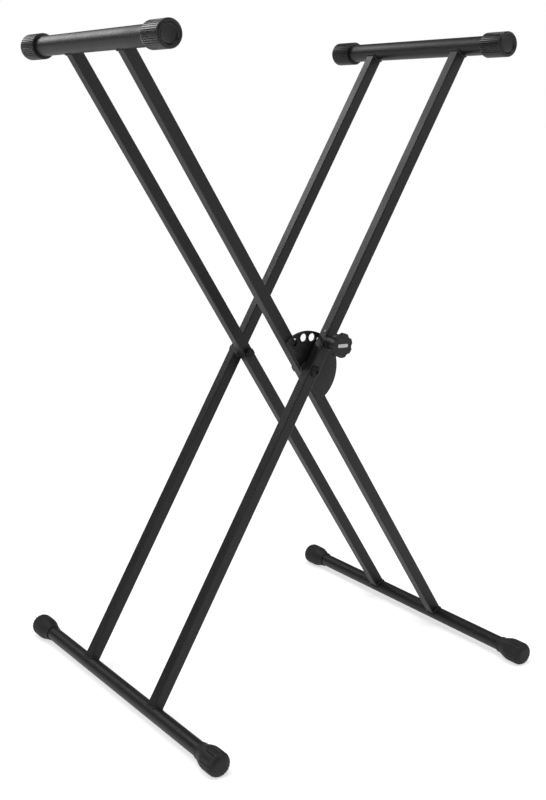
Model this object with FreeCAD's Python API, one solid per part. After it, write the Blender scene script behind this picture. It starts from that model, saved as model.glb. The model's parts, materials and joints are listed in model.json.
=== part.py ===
import FreeCAD, Part
import math
import os
from FreeCAD import Vector

# A folding keyboard stand. Two tube frames cross like an X and turn on two pivot bolts.
# A spring plunger on the near outer leg drops into the holes of a half-moon plate on the
# near inner leg and sets the height.
# Millimetres. X runs across the spread of the frames, Y along the bars, Z up. The origin is
# on the floor, midway between the four feet. "Near" is the -Y side, which carries the lock.

# ---- driving dimensions: frames -----------------------------------------------------------
leg_length = 980.0           # from a frame's base-bar axis to its top-bar axis
leg_side = 16.0              # square leg tube, outside
leg_wall = 1.2
leg_corner = 1.6             # outside corner radius of the leg tube
inner_leg_spacing = 134.5    # between the centre lines of the two inner legs
leg_gap = 6.0                # between an inner leg and the outer leg beside it
top_bar_diameter = 25.0
top_bar_wall = 1.2
top_bar_length = 347.0       # bare tube, without its end caps
base_bar_diameter = 20.0
base_bar_wall = 1.2
base_bar_length = 498.0      # bare tube, without its feet
weld_size = 2.6              # leg length of the weld beads on the bars
weld_gap = 0.05              # between a coped leg end and the bar it is welded to

# ---- driving dimensions: end caps and feet ------------------------------------------------
cap_diameter = 32.6
cap_length = 38.0
cap_end_thickness = 5.0      # rubber beyond the end of the tube
cap_rib_count = 40
cap_groove_width = 1.3
cap_groove_depth = 0.7
cap_end_round = 3.2
cap_dish_depth = 1.2         # shallow dish in the outer end
cap_dish_rim = 4.2           # width of the rim around the dish
foot_diameter = 32.0
foot_length = 46.0
foot_end_thickness = 5.0
foot_end_round = 8.0
foot_rim_diameter = 23.0     # at the open end
foot_collar_length = 23.0    # smooth part that widens from the rim
foot_rib_count = 20          # ribs round the outer part
foot_groove_width = 2.0
foot_groove_depth = 0.7
foot_flat_depth = 0.6        # depth of the moulded flat that stands on the floor
rim_round = 0.8              # round on the open rim of a cap or foot
rubber_fit = 0.05            # radial clearance between a tube and its cap or foot

# ---- driving dimensions: lock plate -------------------------------------------------------
fold_clearance = 5.0         # between the caps or feet of the two frames when the stand is folded
narrowest_setting = 26.2     # opening with the pin in the first hole of the row
hole_pitch = 18.3            # angle from one hole of the plate to the next
hole_count = 4               # in the row, without the hole of the folded stand
stored_hole = 2              # hole that faces the plunger in the stored pose, counted from 0
hole_circle_radius = 43.2
hole_diameter = 10.8
plate_rim = 3.0              # metal between a hole and the plate's round edge
plate_thickness = 3.0
plate_corner = 3.0
plate_weld_size = 2.2
plate_weld_length = 24.0
plate_weld_height = 31.0     # of each weld run's middle, from the pivot

# ---- driving dimensions: pivots -----------------------------------------------------------
bolt_diameter = 8.0
bolt_head_diameter = 14.0
bolt_head_height = 2.8
bolt_head_round = 1.8
bolt_socket_flats = 5.0
bolt_socket_depth = 1.6
bolt_tail = 0.3              # bolt end that stands out of the nut
bolt_clearance = 0.1         # radial, in the inner leg, the plate and the washers
bush_running = 0.05          # radial clearance of the bolt in a bush
bush_seat = 0.05             # radial clearance of a bush in its leg
bush_wall = 1.45
bush_flange_diameter = 20.0
face_clearance = 0.1         # between a bush flange and the face it turns on
washer_diameter = 15.6
washer_thickness = 1.2
nut_flats = 13.0
nut_height = 4.0
nut_chamfer = 0.6
thread_gap = 0.05            # radial, between a bolt and its nut
sleeve_wall = 1.4

# ---- driving dimensions: plunger ----------------------------------------------------------
pin_diameter = 9.2
pin_nose = 1.4               # chamfer at the pin's tip
pin_running = 0.05           # radial clearance of the pin in its housing
pin_back_off = 1.1           # of the drawn pin's tip beyond the leg's inner face
pin_travel = 4.5             # from drawn back to seated in the plate
stem_diameter = 6.0
stem_running = 0.05
housing_diameter = 17.0
housing_length = 15.5        # barrel outside the leg, without its end cap
housing_floor = 1.5
housing_cap_thickness = 2.0
housing_cap_spigot = 2.0
housing_seat = 0.05          # radial clearance of the spigot in the leg and in the block
chamber_wall = 1.7
stop_washer_diameter = 12.8
stop_washer_thickness = 1.5
spring_wire = 1.0
spring_diameter = 9.4        # mean diameter of the turns
spring_turns = 4.0
spring_end_gap = 0.05
block_height = 34.0
block_offset = 4.0           # of the block's middle above the pin's axis
block_fit = 0.1
block_cheek = 0.9            # of the block beside the housing's spigot
rivet_height = 11.8          # above the pin's axis
rivet_offset = 2.0           # from the leg's middle towards its outside
rivet_diameter = 2.6
rivet_head_diameter = 4.2
rivet_head_height = 1.0
rivet_head_round = 0.7
rivet_depth = 4.0            # of its shank in the block

# ---- driving dimensions: knob -------------------------------------------------------------
knob_diameter = 33.0
knob_thickness = 8.4
knob_lobes = 7
knob_turn = 48.2             # angle of one lobe, from the leg frame's X axis
knob_scallop_radius = 5.5
knob_scallop_depth = 1.8
knob_neck_diameter = 15.0
knob_neck_length = 0.8
knob_edge = 1.4              # chamfer on the knob's front
knob_stop_gap = 0.3          # between knob and housing cap with the pin seated
stem_in_knob = 6.5
inlay_length = 16.0
inlay_width = 4.6
inlay_turn = 29.0            # angle of the inlay bar, from the leg frame's X axis
inlay_depth = 0.8
inlay_proud = 0.2
inlay_fit = 0.1

# ---- derived sizes ------------------------------------------------------------------------
opening_angle = narrowest_setting + stored_hole * hole_pitch
half_angle = opening_angle / 2.0
folded_reach = max(cap_diameter, foot_diameter) + fold_clearance
folded_angle = 2.0 * math.degrees(math.asin(folded_reach / leg_length))
half_leg = leg_length / 2.0
half_side = leg_side / 2.0
leg_inside = leg_side - 2.0 * leg_wall
inner_leg_y = inner_leg_spacing / 2.0
outer_leg_y = inner_leg_y + leg_side + leg_gap
inner_leg_outside = inner_leg_y + half_side     # the four faces that a pivot passes, from Y = 0
inner_leg_inside = inner_leg_y - half_side
outer_leg_inside = outer_leg_y - half_side
outer_leg_outside = outer_leg_y + half_side
base_axis_height = foot_diameter / 2.0 - foot_flat_depth
pivot_height = base_axis_height + half_leg * math.cos(math.radians(half_angle))
plate_radius = hole_circle_radius + hole_diameter / 2.0 + plate_rim
plate_outside = inner_leg_outside + plate_thickness
bush_diameter = bolt_diameter + 2.0 * (bush_running + bush_wall)
block_side = leg_inside - 2.0 * block_fit
spigot_diameter = block_side - 2.0 * block_cheek
chamber_diameter = housing_diameter - 2.0 * chamber_wall
housing_end = outer_leg_outside + housing_length
pin_tip = outer_leg_inside - pin_back_off
pin_shoulder = outer_leg_outside + housing_floor + pin_travel
stop_washer_end = pin_shoulder + stop_washer_thickness
spring_seat = housing_end - housing_cap_spigot
knob_back = housing_end + housing_cap_thickness + pin_travel + knob_stop_gap
knob_face = knob_back + knob_neck_length + knob_thickness

Y_AXIS = Vector(0, 1, 0)
Z_AXIS = Vector(0, 0, 1)
ORIGIN = Vector(0, 0, 0)
NEAR = -1
FAR = 1


# ---- helpers ------------------------------------------------------------------------------
def rod(radius, start, end, x=0.0, z=0.0):
    """A round bar along Y, from Y = start to Y = end."""
    low = min(start, end)
    return Part.makeCylinder(radius, abs(end - start), Vector(x, low, z), Y_AXIS)


def ring(outer_radius, inner_radius, start, end, x=0.0, z=0.0):
    """A round tube along Y."""
    return rod(outer_radius, start, end, x, z).cut(rod(inner_radius, start, end, x, z))


def block(size_x, size_y, size_z, centre):
    """A box of the given size about a centre."""
    corner = centre - Vector(size_x / 2.0, size_y / 2.0, size_z / 2.0)
    return Part.makeBox(size_x, size_y, size_z, corner)


def hexagon(flats, start, end):
    """A hexagonal bar along Y."""
    corner_radius = flats / math.sqrt(3.0)
    points = []
    for i in range(7):
        angle = math.radians(60.0 * i)
        points.append(Vector(corner_radius * math.cos(angle), start, corner_radius * math.sin(angle)))
    return Part.Face(Part.makePolygon(points)).extrude(Vector(0, end - start, 0))


def at_angle(radius, degrees, y=0.0):
    """A point at a polar angle about the Y axis, counted from +X towards +Z."""
    angle = math.radians(degrees)
    return Vector(radius * math.cos(angle), y, radius * math.sin(angle))


def edges_along(shape, direction):
    """The straight edges of a shape that run along a direction."""
    found = []
    for edge in shape.Edges:
        if isinstance(edge.Curve, Part.Line):
            if abs(edge.tangentAt(edge.FirstParameter).dot(direction)) > 0.999:
                found.append(edge)
    return found


def circles_at(shape, y, radius):
    """The circular edges of a shape at a height y along Y and of a radius."""
    found = []
    for edge in shape.Edges:
        if isinstance(edge.Curve, Part.Circle):
            if abs(edge.Curve.Center.y - y) < 1e-6 and abs(edge.Curve.Radius - radius) < 1e-6:
                found.append(edge)
    return found


def on_side(shape, side):
    """A shape made for the far side, or the same shape turned round onto the near side."""
    result = shape.copy()
    if side == NEAR:
        result.rotate(ORIGIN, Z_AXIS, 180.0)
    return result


def stand(shape, frame):
    """Lean a shape that was made on an upright frame about the pivot, and lift it into place."""
    result = shape.copy()
    result.rotate(ORIGIN, Y_AXIS, half_angle if frame == "outer" else -half_angle)
    result.translate(Vector(0, 0, pivot_height))
    return result


def export(name, *solids):
    """Write one node. Several solids are a group of separate pieces."""
    shape = solids[0] if len(solids) == 1 else Part.makeCompound(list(solids))
    shape.exportStep("parts/" + name + ".step")


# ---- frames: everything below is made with its leg upright and the pivot at the origin ----
def rounded_prism(side, corner, length):
    """A square bar along Z with rounded long edges."""
    prism = block(side, side, length, ORIGIN)
    return prism.makeFillet(corner, edges_along(prism, Z_AXIS))


def square_leg(y):
    """A hollow leg at a height y along the pivot line, coped to the two bars it is welded to."""
    outside = rounded_prism(leg_side, leg_corner, leg_length)
    inside = rounded_prism(leg_inside, leg_corner - leg_wall, leg_length)
    leg = outside.cut(inside)
    leg.translate(Vector(0, y, 0))
    for height, diameter in ((half_leg, top_bar_diameter), (-half_leg, base_bar_diameter)):
        leg = leg.cut(rod(diameter / 2.0 + weld_gap, y - leg_side, y + leg_side, 0.0, height))
    return leg


def inner_leg(side):
    """An inner leg, drilled for its pivot bolt."""
    y = side * inner_leg_y
    hole = rod(bolt_diameter / 2.0 + bolt_clearance, y - leg_side, y + leg_side)
    return square_leg(y).cut(hole)


def outer_leg(side):
    """An outer leg, drilled for its bush and, on the near side, for the housing and its rivet."""
    y = side * outer_leg_y
    leg = square_leg(y).cut(rod(bush_diameter / 2.0 + bush_seat, y - leg_side, y + leg_side))
    if side == NEAR:
        housing_hole = spigot_diameter / 2.0 + housing_seat
        leg = leg.cut(rod(housing_hole, y - leg_side, y + leg_side, 0.0, hole_circle_radius))
        leg = leg.cut(rivet_shank())
    return leg


def bar(diameter, wall, length, height):
    """A round tube across both legs."""
    return ring(diameter / 2.0, diameter / 2.0 - wall, -length / 2.0, length / 2.0, 0.0, height)


def rectangle(half_x, half_y, z):
    """A level rectangle about the Z axis, as a wire."""
    corners = [(-1, -1), (1, -1), (1, 1), (-1, 1), (-1, -1)]
    return Part.makePolygon([Vector(half_x * i, half_y * j, z) for i, j in corners])


def weld_bead(y, bar_diameter, bar_height):
    """The fillet weld around a leg's coped end. It is made below a bar and turned over for the base."""
    radius = bar_diameter / 2.0
    leg_angle = math.asin(half_side / radius)
    toe_angle = leg_angle + weld_size / radius
    crown = radius * math.cos(leg_angle) + weld_size
    toe_depth = radius * math.cos(toe_angle)
    slope = (radius * math.sin(toe_angle) - half_side) / (crown - toe_depth)

    def section(depth):
        half_x = half_side + (crown - depth) * slope
        half_y = half_side + radius + weld_size - depth
        return rectangle(half_x, half_y, -depth)

    bead = Part.makeLoft([section(toe_depth), section(radius + weld_size)], True, True)
    bead = bead.common(block(bar_diameter * 2.0, leg_side + 2.0 * weld_size, bar_diameter * 2.0, ORIGIN))
    bead = bead.cut(rod(radius + weld_gap / 2.0, -leg_side, leg_side))
    bead = bead.cut(rounded_prism(leg_side, leg_corner, leg_length))
    if bar_height < 0:
        bead.rotate(ORIGIN, Y_AXIS, 180.0)
    bead.translate(Vector(0, y, bar_height))
    return bead


def frame_welds(leg_y):
    """The four weld beads of one frame."""
    beads = []
    for side in (NEAR, FAR):
        beads.append(weld_bead(side * leg_y, top_bar_diameter, half_leg))
        beads.append(weld_bead(side * leg_y, base_bar_diameter, -half_leg))
    return beads


# ---- rubber -------------------------------------------------------------------------------
def bored(body, tube_diameter, rim, tube_end, height):
    """A rubber end with the blind bore that a tube is pushed into."""
    return body.cut(rod(tube_diameter / 2.0 + rubber_fit, rim, tube_end, 0.0, height))


def top_cap(side):
    """A ribbed end cap of a top bar, with a shallow dish in its end."""
    radius = cap_diameter / 2.0
    tube_end = top_bar_length / 2.0
    end = tube_end + cap_end_thickness
    rim = end - cap_length
    cap = rod(radius, rim, end, 0.0, half_leg)
    cap = cap.makeFillet(cap_end_round, circles_at(cap, end, radius))
    cap = cap.makeFillet(rim_round, circles_at(cap, rim, radius))
    cap = bored(cap, top_bar_diameter, rim, tube_end, half_leg)
    cap = cap.cut(rod(radius - cap_dish_rim, end - cap_dish_depth, end, 0.0, half_leg))
    groove_length = cap_length - cap_end_round
    grooves = []
    for i in range(cap_rib_count):
        middle = Vector(radius, rim + groove_length / 2.0, 0.0)
        groove = block(2.0 * cap_groove_depth, groove_length, cap_groove_width, middle)
        groove.rotate(ORIGIN, Y_AXIS, 360.0 * i / cap_rib_count)
        groove.translate(Vector(0, 0, half_leg))
        grooves.append(groove)
    return on_side(cap.cut(grooves), side)


def foot(side, frame):
    """A rubber foot of a base bar, in place: a widening collar and a ribbed round end with a flat.

    A rib, and not a groove, points down.
    """
    radius = foot_diameter / 2.0
    tube_end = base_bar_length / 2.0
    end = tube_end + foot_end_thickness
    rim = end - foot_length
    shoulder = rim + foot_collar_length
    rim_radius = foot_rim_diameter / 2.0
    collar = Part.makeCone(rim_radius, radius, foot_collar_length, Vector(0, rim, 0), Y_AXIS)
    shape = collar.fuse(rod(radius, shoulder, end)).removeSplitter()
    shape = shape.makeFillet(foot_end_round, circles_at(shape, end, radius))
    shape = shape.makeFillet(rim_round, circles_at(shape, rim, rim_radius))
    shape = bored(shape, base_bar_diameter, rim, tube_end, 0.0)
    grooves = []
    for i in range(foot_rib_count):
        groove = block(2.0 * foot_groove_depth, end - shoulder, foot_groove_width,
                       Vector(radius, (shoulder + end) / 2.0, 0.0))
        groove.rotate(ORIGIN, Y_AXIS, 90.0 + 360.0 * (i + 0.5) / foot_rib_count)
        grooves.append(groove)
    shape = on_side(shape.cut(grooves), side)
    lean = half_angle if frame == "outer" else -half_angle
    shape.translate(Vector(-half_leg * math.sin(math.radians(lean)), 0.0, base_axis_height))
    floor = block(leg_length, leg_length, leg_length, Vector(0, 0, -leg_length / 2.0))
    return shape.cut(floor)


# ---- lock plate ---------------------------------------------------------------------------
def lock_plate():
    """The half-moon plate on the near inner leg. Its straight edge lies along the leg."""
    disc = rod(plate_radius, -plate_outside, -inner_leg_outside)
    left_edge = half_side - leg_corner
    reach = 2.0 * plate_radius
    half_plane = block(reach, reach, reach, Vector(reach / 2.0 - left_edge, -plate_outside, 0))
    plate = disc.common(half_plane)
    plate = plate.makeFillet(plate_corner, edges_along(plate, Y_AXIS))
    plate = plate.cut(rod(bolt_diameter / 2.0 + bolt_clearance, -plate_outside, -inner_leg_outside))
    settings = [folded_angle] + [narrowest_setting + i * hole_pitch for i in range(hole_count)]
    for setting in settings:
        centre = at_angle(hole_circle_radius, 90.0 - setting)
        plate = plate.cut(rod(hole_diameter / 2.0, -plate_outside, -inner_leg_outside, centre.x, centre.z))
    return plate


def plate_weld(height):
    """One fillet weld between the plate's back and the side of the inner leg."""
    corner = Vector(half_side, -inner_leg_outside, height - plate_weld_length / 2.0)
    across = corner + Vector(plate_weld_size, 0, 0)
    along = corner + Vector(0, leg_corner + plate_weld_size, 0)
    inwards = corner - Vector(leg_corner, 0, 0)
    section = Part.Face(Part.makePolygon([inwards, across, along, inwards]))
    bead = section.extrude(Vector(0, 0, plate_weld_length))
    leg = rounded_prism(leg_side, leg_corner, leg_length)
    leg.translate(Vector(0, -inner_leg_y, 0))
    return bead.cut(leg)


# ---- pivots: made on the far side ---------------------------------------------------------
def pivot_bolt():
    """A low-head bolt from outside the outer leg to inside the inner leg."""
    seat = outer_leg_outside + washer_thickness
    tail = inner_leg_inside - washer_thickness - nut_height - bolt_tail
    top = seat + bolt_head_height
    head = rod(bolt_head_diameter / 2.0, seat, top)
    head = head.makeFillet(bolt_head_round, circles_at(head, top, bolt_head_diameter / 2.0))
    bolt = head.fuse(rod(bolt_diameter / 2.0, tail, seat)).removeSplitter()
    return bolt.cut(hexagon(bolt_socket_flats, top - bolt_socket_depth, top))


def pivot_nut():
    """A thin hexagon nut on the inside of the inner leg, with its corners chamfered."""
    face = inner_leg_inside - washer_thickness
    end = face - nut_height
    radius = nut_flats / math.sqrt(3.0)
    rounder = rod(radius, end, face)
    rounder = rounder.makeChamfer(nut_chamfer, circles_at(rounder, end, radius))
    bore = rod(bolt_diameter / 2.0 + thread_gap, end, face)
    return hexagon(nut_flats, end, face).common(rounder).cut(bore)


def washer(start):
    """A plain washer of the pivot, from Y = start outwards."""
    return ring(washer_diameter / 2.0, bolt_diameter / 2.0 + bolt_clearance, start, start + washer_thickness)


def leg_sleeve():
    """The sleeve inside an inner leg that the bolt clamps."""
    half_length = leg_inside / 2.0 - face_clearance / 2.0
    inner_radius = bolt_diameter / 2.0 + bolt_clearance
    start = inner_leg_y - half_length
    return ring(inner_radius + sleeve_wall, inner_radius, start, start + 2.0 * half_length)


def pivot_bush(turns_on):
    """A flanged bush through the outer leg. Its flange turns on the face at Y = turns_on."""
    flange = rod(bush_flange_diameter / 2.0, turns_on + face_clearance, outer_leg_inside)
    body = rod(bush_diameter / 2.0, outer_leg_inside, outer_leg_outside)
    bore = rod(bolt_diameter / 2.0 + bush_running, turns_on, outer_leg_outside)
    return flange.fuse(body).removeSplitter().cut(bore)


# ---- plunger: made on an upright outer leg, outwards along -Y -----------------------------
def lock_rod(diameter, start, end):
    """A round bar on the plunger's axis, between two distances from Y = 0."""
    return rod(diameter / 2.0, -start, -end, 0.0, hole_circle_radius)


def plunger_housing():
    """A turned barrel on the leg's face with a spigot through the leg, bored for the pin."""
    spigot = lock_rod(spigot_diameter, outer_leg_inside, outer_leg_outside)
    barrel = lock_rod(housing_diameter, outer_leg_outside, housing_end)
    bore = lock_rod(pin_diameter + 2.0 * pin_running, outer_leg_inside, housing_end)
    chamber = lock_rod(chamber_diameter, outer_leg_outside + housing_floor, housing_end)
    return spigot.fuse(barrel).removeSplitter().cut(bore).cut(chamber)


def plunger_housing_cap():
    """The cap pressed into the open end of the barrel. The stem runs in it."""
    end = housing_end + housing_cap_thickness
    spigot = lock_rod(chamber_diameter - 2.0 * housing_seat, spring_seat, housing_end)
    disc = lock_rod(housing_diameter, housing_end, end)
    bore = lock_rod(stem_diameter + 2.0 * stem_running, spring_seat, end)
    return spigot.fuse(disc).removeSplitter().cut(bore)


def guide_block():
    """The block inside the near outer leg that holds the spigot square to the leg."""
    body = rounded_prism(block_side, leg_corner - leg_wall, block_height)
    body.translate(Vector(0, -outer_leg_y, hole_circle_radius + block_offset))
    body = body.cut(lock_rod(spigot_diameter + 2.0 * housing_seat, outer_leg_inside, outer_leg_outside))
    return body.cut(rivet_shank())


def rivet_shank():
    """The rivet's shank, through the leg's upper side wall into the block."""
    start = Vector(-half_side, -outer_leg_y - rivet_offset, hole_circle_radius + rivet_height)
    return Part.makeCylinder(rivet_diameter / 2.0, leg_wall + block_fit + rivet_depth, start, Vector(1, 0, 0))


def guide_block_rivet():
    """The rivet that keeps the guide block in place."""
    seat = Vector(-half_side, -outer_leg_y - rivet_offset, hole_circle_radius + rivet_height)
    head = Part.makeCylinder(rivet_head_diameter / 2.0, rivet_head_height, seat, Vector(-1, 0, 0))
    crown = []
    for edge in head.Edges:
        if isinstance(edge.Curve, Part.Circle) and edge.Curve.Center.x < seat.x - rivet_head_height / 2.0:
            crown.append(edge)
    head = head.makeFillet(rivet_head_round, crown)
    return head.fuse(rivet_shank()).removeSplitter()


def plunger_pin():
    """The pin with its stem, drawn back just clear of the plate."""
    pin = lock_rod(pin_diameter, pin_tip, pin_shoulder)
    pin = pin.makeChamfer(pin_nose, circles_at(pin, -pin_tip, pin_diameter / 2.0))
    stem = lock_rod(stem_diameter, pin_shoulder, knob_back + stem_in_knob)
    return pin.fuse(stem).removeSplitter()


def plunger_washer():
    """The washer on the pin's shoulder that the spring presses on."""
    washer_body = lock_rod(stop_washer_diameter, pin_shoulder, stop_washer_end)
    return washer_body.cut(lock_rod(stem_diameter + 2.0 * stem_running, pin_shoulder, stop_washer_end))


def arc_with_tangent(start, tangent, end):
    """The arc from start to end that leaves start along tangent."""
    chord = end - start
    along = Vector(chord).normalize()
    aside = tangent - along * tangent.dot(along)
    aside.normalize()
    turn = math.acos(max(-1.0, min(1.0, tangent.dot(along))))
    middle = (start + end) * 0.5 + aside * (chord.Length / 2.0 * math.tan(turn / 2.0))
    return Part.Arc(start, middle, end).toShape()


def biarc(start, start_tangent, end, end_tangent):
    """Two tangent arcs between two points with given directions."""
    gap = end - start
    spread = 2.0 * (1.0 - start_tangent.dot(end_tangent))
    lean = gap.dot(start_tangent + end_tangent)
    reach = (math.sqrt(lean * lean + spread * gap.dot(gap)) - lean) / spread
    joint = (start + end + (start_tangent - end_tangent) * reach) * 0.5
    first = arc_with_tangent(start, start_tangent, joint)
    last = arc_with_tangent(end, end_tangent * -1.0, joint)
    return [first, last]


def plunger_spring():
    """The compression spring between the washer and the housing cap, as it is drawn back."""
    low = stop_washer_end + spring_wire / 2.0 + spring_end_gap
    high = spring_seat - spring_wire / 2.0 - spring_end_gap
    radius = spring_diameter / 2.0
    climb = (high - low) / (2.0 * math.pi * spring_turns)
    quarter_turns = int(round(spring_turns * 4))

    def on_helix(index):
        angle = index * math.pi / 2.0
        point = Vector(radius * math.cos(angle), -low - climb * angle,
                       hole_circle_radius + radius * math.sin(angle))
        tangent = Vector(-radius * math.sin(angle), -climb, radius * math.cos(angle))
        return point, tangent.normalize()

    edges = []
    for i in range(quarter_turns):
        edges += biarc(*on_helix(i), *on_helix(i + 1))
    path = Part.Wire(Part.__sortEdges__(edges))
    start, tangent = on_helix(0)
    section = Part.Wire([Part.Circle(start, tangent, spring_wire / 2.0).toShape()])
    return path.makePipeShell([section], True, False)


def plunger_knob():
    """The lobed pull knob, with a neck towards the housing and a recess for its inlay."""
    radius = knob_diameter / 2.0
    back = knob_back + knob_neck_length
    body = rod(radius, -knob_face, -back)
    body = body.makeChamfer(knob_edge, circles_at(body, -knob_face, radius))
    for i in range(knob_lobes):
        angle = knob_turn + 360.0 * (i + 0.5) / knob_lobes
        centre = at_angle(radius + knob_scallop_radius - knob_scallop_depth, angle)
        body = body.cut(rod(knob_scallop_radius, -knob_face, -back, centre.x, centre.z))
    body = body.fuse(rod(knob_neck_diameter / 2.0, -back, -knob_back)).removeSplitter()
    recess_length = inlay_length + 2.0 * inlay_fit
    recess_width = inlay_width + 2.0 * inlay_fit
    recess = block(recess_length, 2.0 * inlay_depth, recess_width, Vector(0, -knob_face, 0))
    recess.rotate(ORIGIN, Y_AXIS, -inlay_turn)
    body = body.cut(recess)
    body.translate(Vector(0, 0, hole_circle_radius))
    return body.cut(lock_rod(stem_diameter + 2.0 * stem_running, knob_back, knob_back + stem_in_knob))


def knob_inlay():
    """The plain pale bar set into the knob's face."""
    thickness = inlay_depth + inlay_proud
    middle = Vector(0, -knob_face + inlay_depth - thickness / 2.0, 0)
    bar_body = block(inlay_length, thickness, inlay_width, middle)
    bar_body.rotate(ORIGIN, Y_AXIS, -inlay_turn)
    bar_body.translate(Vector(0, 0, hole_circle_radius))
    return bar_body


# ---- assembly -----------------------------------------------------------------------------
def both_sides(shape, frame):
    """The near and the far copy of a pivot piece, standing in place."""
    return [stand(on_side(shape, side), frame) for side in (NEAR, FAR)]


def build_frame(frame, leg, leg_y):
    """Legs, bars, welds, caps and feet of one frame."""
    export(frame + "_top_bar", stand(bar(top_bar_diameter, top_bar_wall, top_bar_length, half_leg), frame))
    export(frame + "_base_bar", stand(bar(base_bar_diameter, base_bar_wall, base_bar_length, -half_leg), frame))
    export(frame + "_frame_welds", *[stand(bead, frame) for bead in frame_welds(leg_y)])
    for side, word in ((NEAR, "near"), (FAR, "far")):
        export(frame + "_leg_" + word, stand(leg(side), frame))
        export(frame + "_top_cap_" + word, stand(top_cap(side), frame))
        export(frame + "_foot_" + word, foot(side, frame))


def build_lock_plate():
    """The lock plate and its two weld runs."""
    export("lock_plate", stand(lock_plate(), "inner"))
    runs = [plate_weld(height) for height in (-plate_weld_height, plate_weld_height)]
    export("lock_plate_welds", *[stand(run, "inner") for run in runs])


def build_pivots():
    """Bolts, nuts, washers, sleeves and bushes of the two pivots."""
    export("pivot_bolts", *both_sides(pivot_bolt(), "inner"))
    export("pivot_nuts", *both_sides(pivot_nut(), "inner"))
    export("pivot_nut_washers", *both_sides(washer(inner_leg_inside - washer_thickness), "inner"))
    export("inner_leg_sleeves", *both_sides(leg_sleeve(), "inner"))
    export("pivot_head_washers", *both_sides(washer(outer_leg_outside), "outer"))
    export("pivot_bush_near", stand(on_side(pivot_bush(plate_outside), NEAR), "outer"))
    export("pivot_bush_far", stand(on_side(pivot_bush(inner_leg_outside), FAR), "outer"))


def build_plunger():
    """The plunger, its housing and the knob on the near outer leg."""
    for piece in (plunger_housing, plunger_housing_cap, guide_block, guide_block_rivet, plunger_pin,
                  plunger_washer, plunger_spring, plunger_knob, knob_inlay):
        export(piece.__name__, stand(piece(), "outer"))


os.makedirs("parts", exist_ok=True)
build_frame("inner", inner_leg, inner_leg_y)
build_frame("outer", outer_leg, outer_leg_y)
build_lock_plate()
build_pivots()
build_plunger()
print("opening angle %.2f, pivot height %.2f, overall height %.2f" % (
    opening_angle, pivot_height, 2.0 * pivot_height - base_axis_height + cap_diameter / 2.0))
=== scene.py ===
"""Looks of a folding keyboard stand: finishes, detailed pieces, light and camera.

The stand is two tube frames that cross on a pivot line. Every piece is modelled at the origin
with its own axis along Z, and is then placed in the row frame, in metres. "Near" is the -Y side,
which carries the lock.
"""

import json
import logging
import math
from contextlib import contextmanager
from dataclasses import dataclass, field
from enum import Enum
from typing import Callable, Iterator, Sequence

import bmesh
import bpy
from mathutils import Matrix, Vector


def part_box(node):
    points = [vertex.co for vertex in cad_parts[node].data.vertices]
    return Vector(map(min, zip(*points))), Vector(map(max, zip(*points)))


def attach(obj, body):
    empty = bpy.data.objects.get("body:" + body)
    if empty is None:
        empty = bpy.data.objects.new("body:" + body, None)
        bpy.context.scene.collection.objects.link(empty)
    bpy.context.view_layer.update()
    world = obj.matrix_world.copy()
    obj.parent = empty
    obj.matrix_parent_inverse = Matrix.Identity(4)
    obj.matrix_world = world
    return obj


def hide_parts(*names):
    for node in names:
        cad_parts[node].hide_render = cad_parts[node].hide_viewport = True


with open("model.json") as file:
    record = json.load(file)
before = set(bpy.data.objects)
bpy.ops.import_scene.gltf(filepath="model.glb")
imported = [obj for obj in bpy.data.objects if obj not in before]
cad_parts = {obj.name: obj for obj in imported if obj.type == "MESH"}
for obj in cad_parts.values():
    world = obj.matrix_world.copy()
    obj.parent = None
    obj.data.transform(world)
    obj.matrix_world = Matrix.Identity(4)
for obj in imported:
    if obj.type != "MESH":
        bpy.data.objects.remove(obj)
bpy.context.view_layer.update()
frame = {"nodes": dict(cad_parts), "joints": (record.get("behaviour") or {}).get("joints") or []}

logger = logging.getLogger("keyboard_stand")

MM = 0.001
FULL_TURN = 2.0 * math.pi
MERGE_DISTANCE = 0.002 * MM
FIT_GAP = 0.05 * MM
EDGE_FLATS = 3

Outline = list[tuple[float, float]]
Spot = tuple[float, float, float]
Color = tuple[float, float, float]
Sockets = bpy.types.bpy_prop_collection


class Side(Enum):
    """The two ends of the stand along the pivot line."""

    NEAR = -1
    FAR = 1


class Part(Enum):
    """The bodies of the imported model."""

    INNER = "inner_frame"
    OUTER = "outer_frame"
    PLUNGER = "lock_plunger"


# ---- modelling by hand --------------------------------------------------------------------------
def activate(piece: bpy.types.Object) -> None:
    """Select one object alone and make it active.

    Args:
        piece: The object that the next operators act on.
    """
    bpy.ops.object.select_all(action="DESELECT")
    piece.select_set(True)
    bpy.context.view_layer.objects.active = piece


@contextmanager
def editing(piece: bpy.types.Object) -> Iterator[None]:
    """Keep a piece in edit mode, with nothing selected at the start.

    Args:
        piece: The mesh object to edit.
    """
    activate(piece)
    bpy.ops.object.mode_set(mode="EDIT")
    bpy.ops.mesh.select_mode(type="VERT")
    bpy.ops.mesh.select_all(action="DESELECT")
    yield
    bpy.ops.object.mode_set(mode="OBJECT")


def select_points(piece: bpy.types.Object, wanted: Callable[[bmesh.types.BMVert], bool]) -> None:
    """Select the vertices that pass a test, in edit mode.

    Args:
        piece: The object in edit mode.
        wanted: The test.
    """
    mesh = bmesh.from_edit_mesh(piece.data)
    for vertex in mesh.verts:
        vertex.select = wanted(vertex)
    mesh.select_flush_mode()
    bmesh.update_edit_mesh(piece.data)


def new_primitive(name: str) -> bpy.types.Object:
    """Name the primitive that was just added.

    Args:
        name: The piece's name.

    Returns:
        The new object.
    """
    piece = bpy.context.object
    piece.name = name
    piece.data.name = name
    return piece


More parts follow.
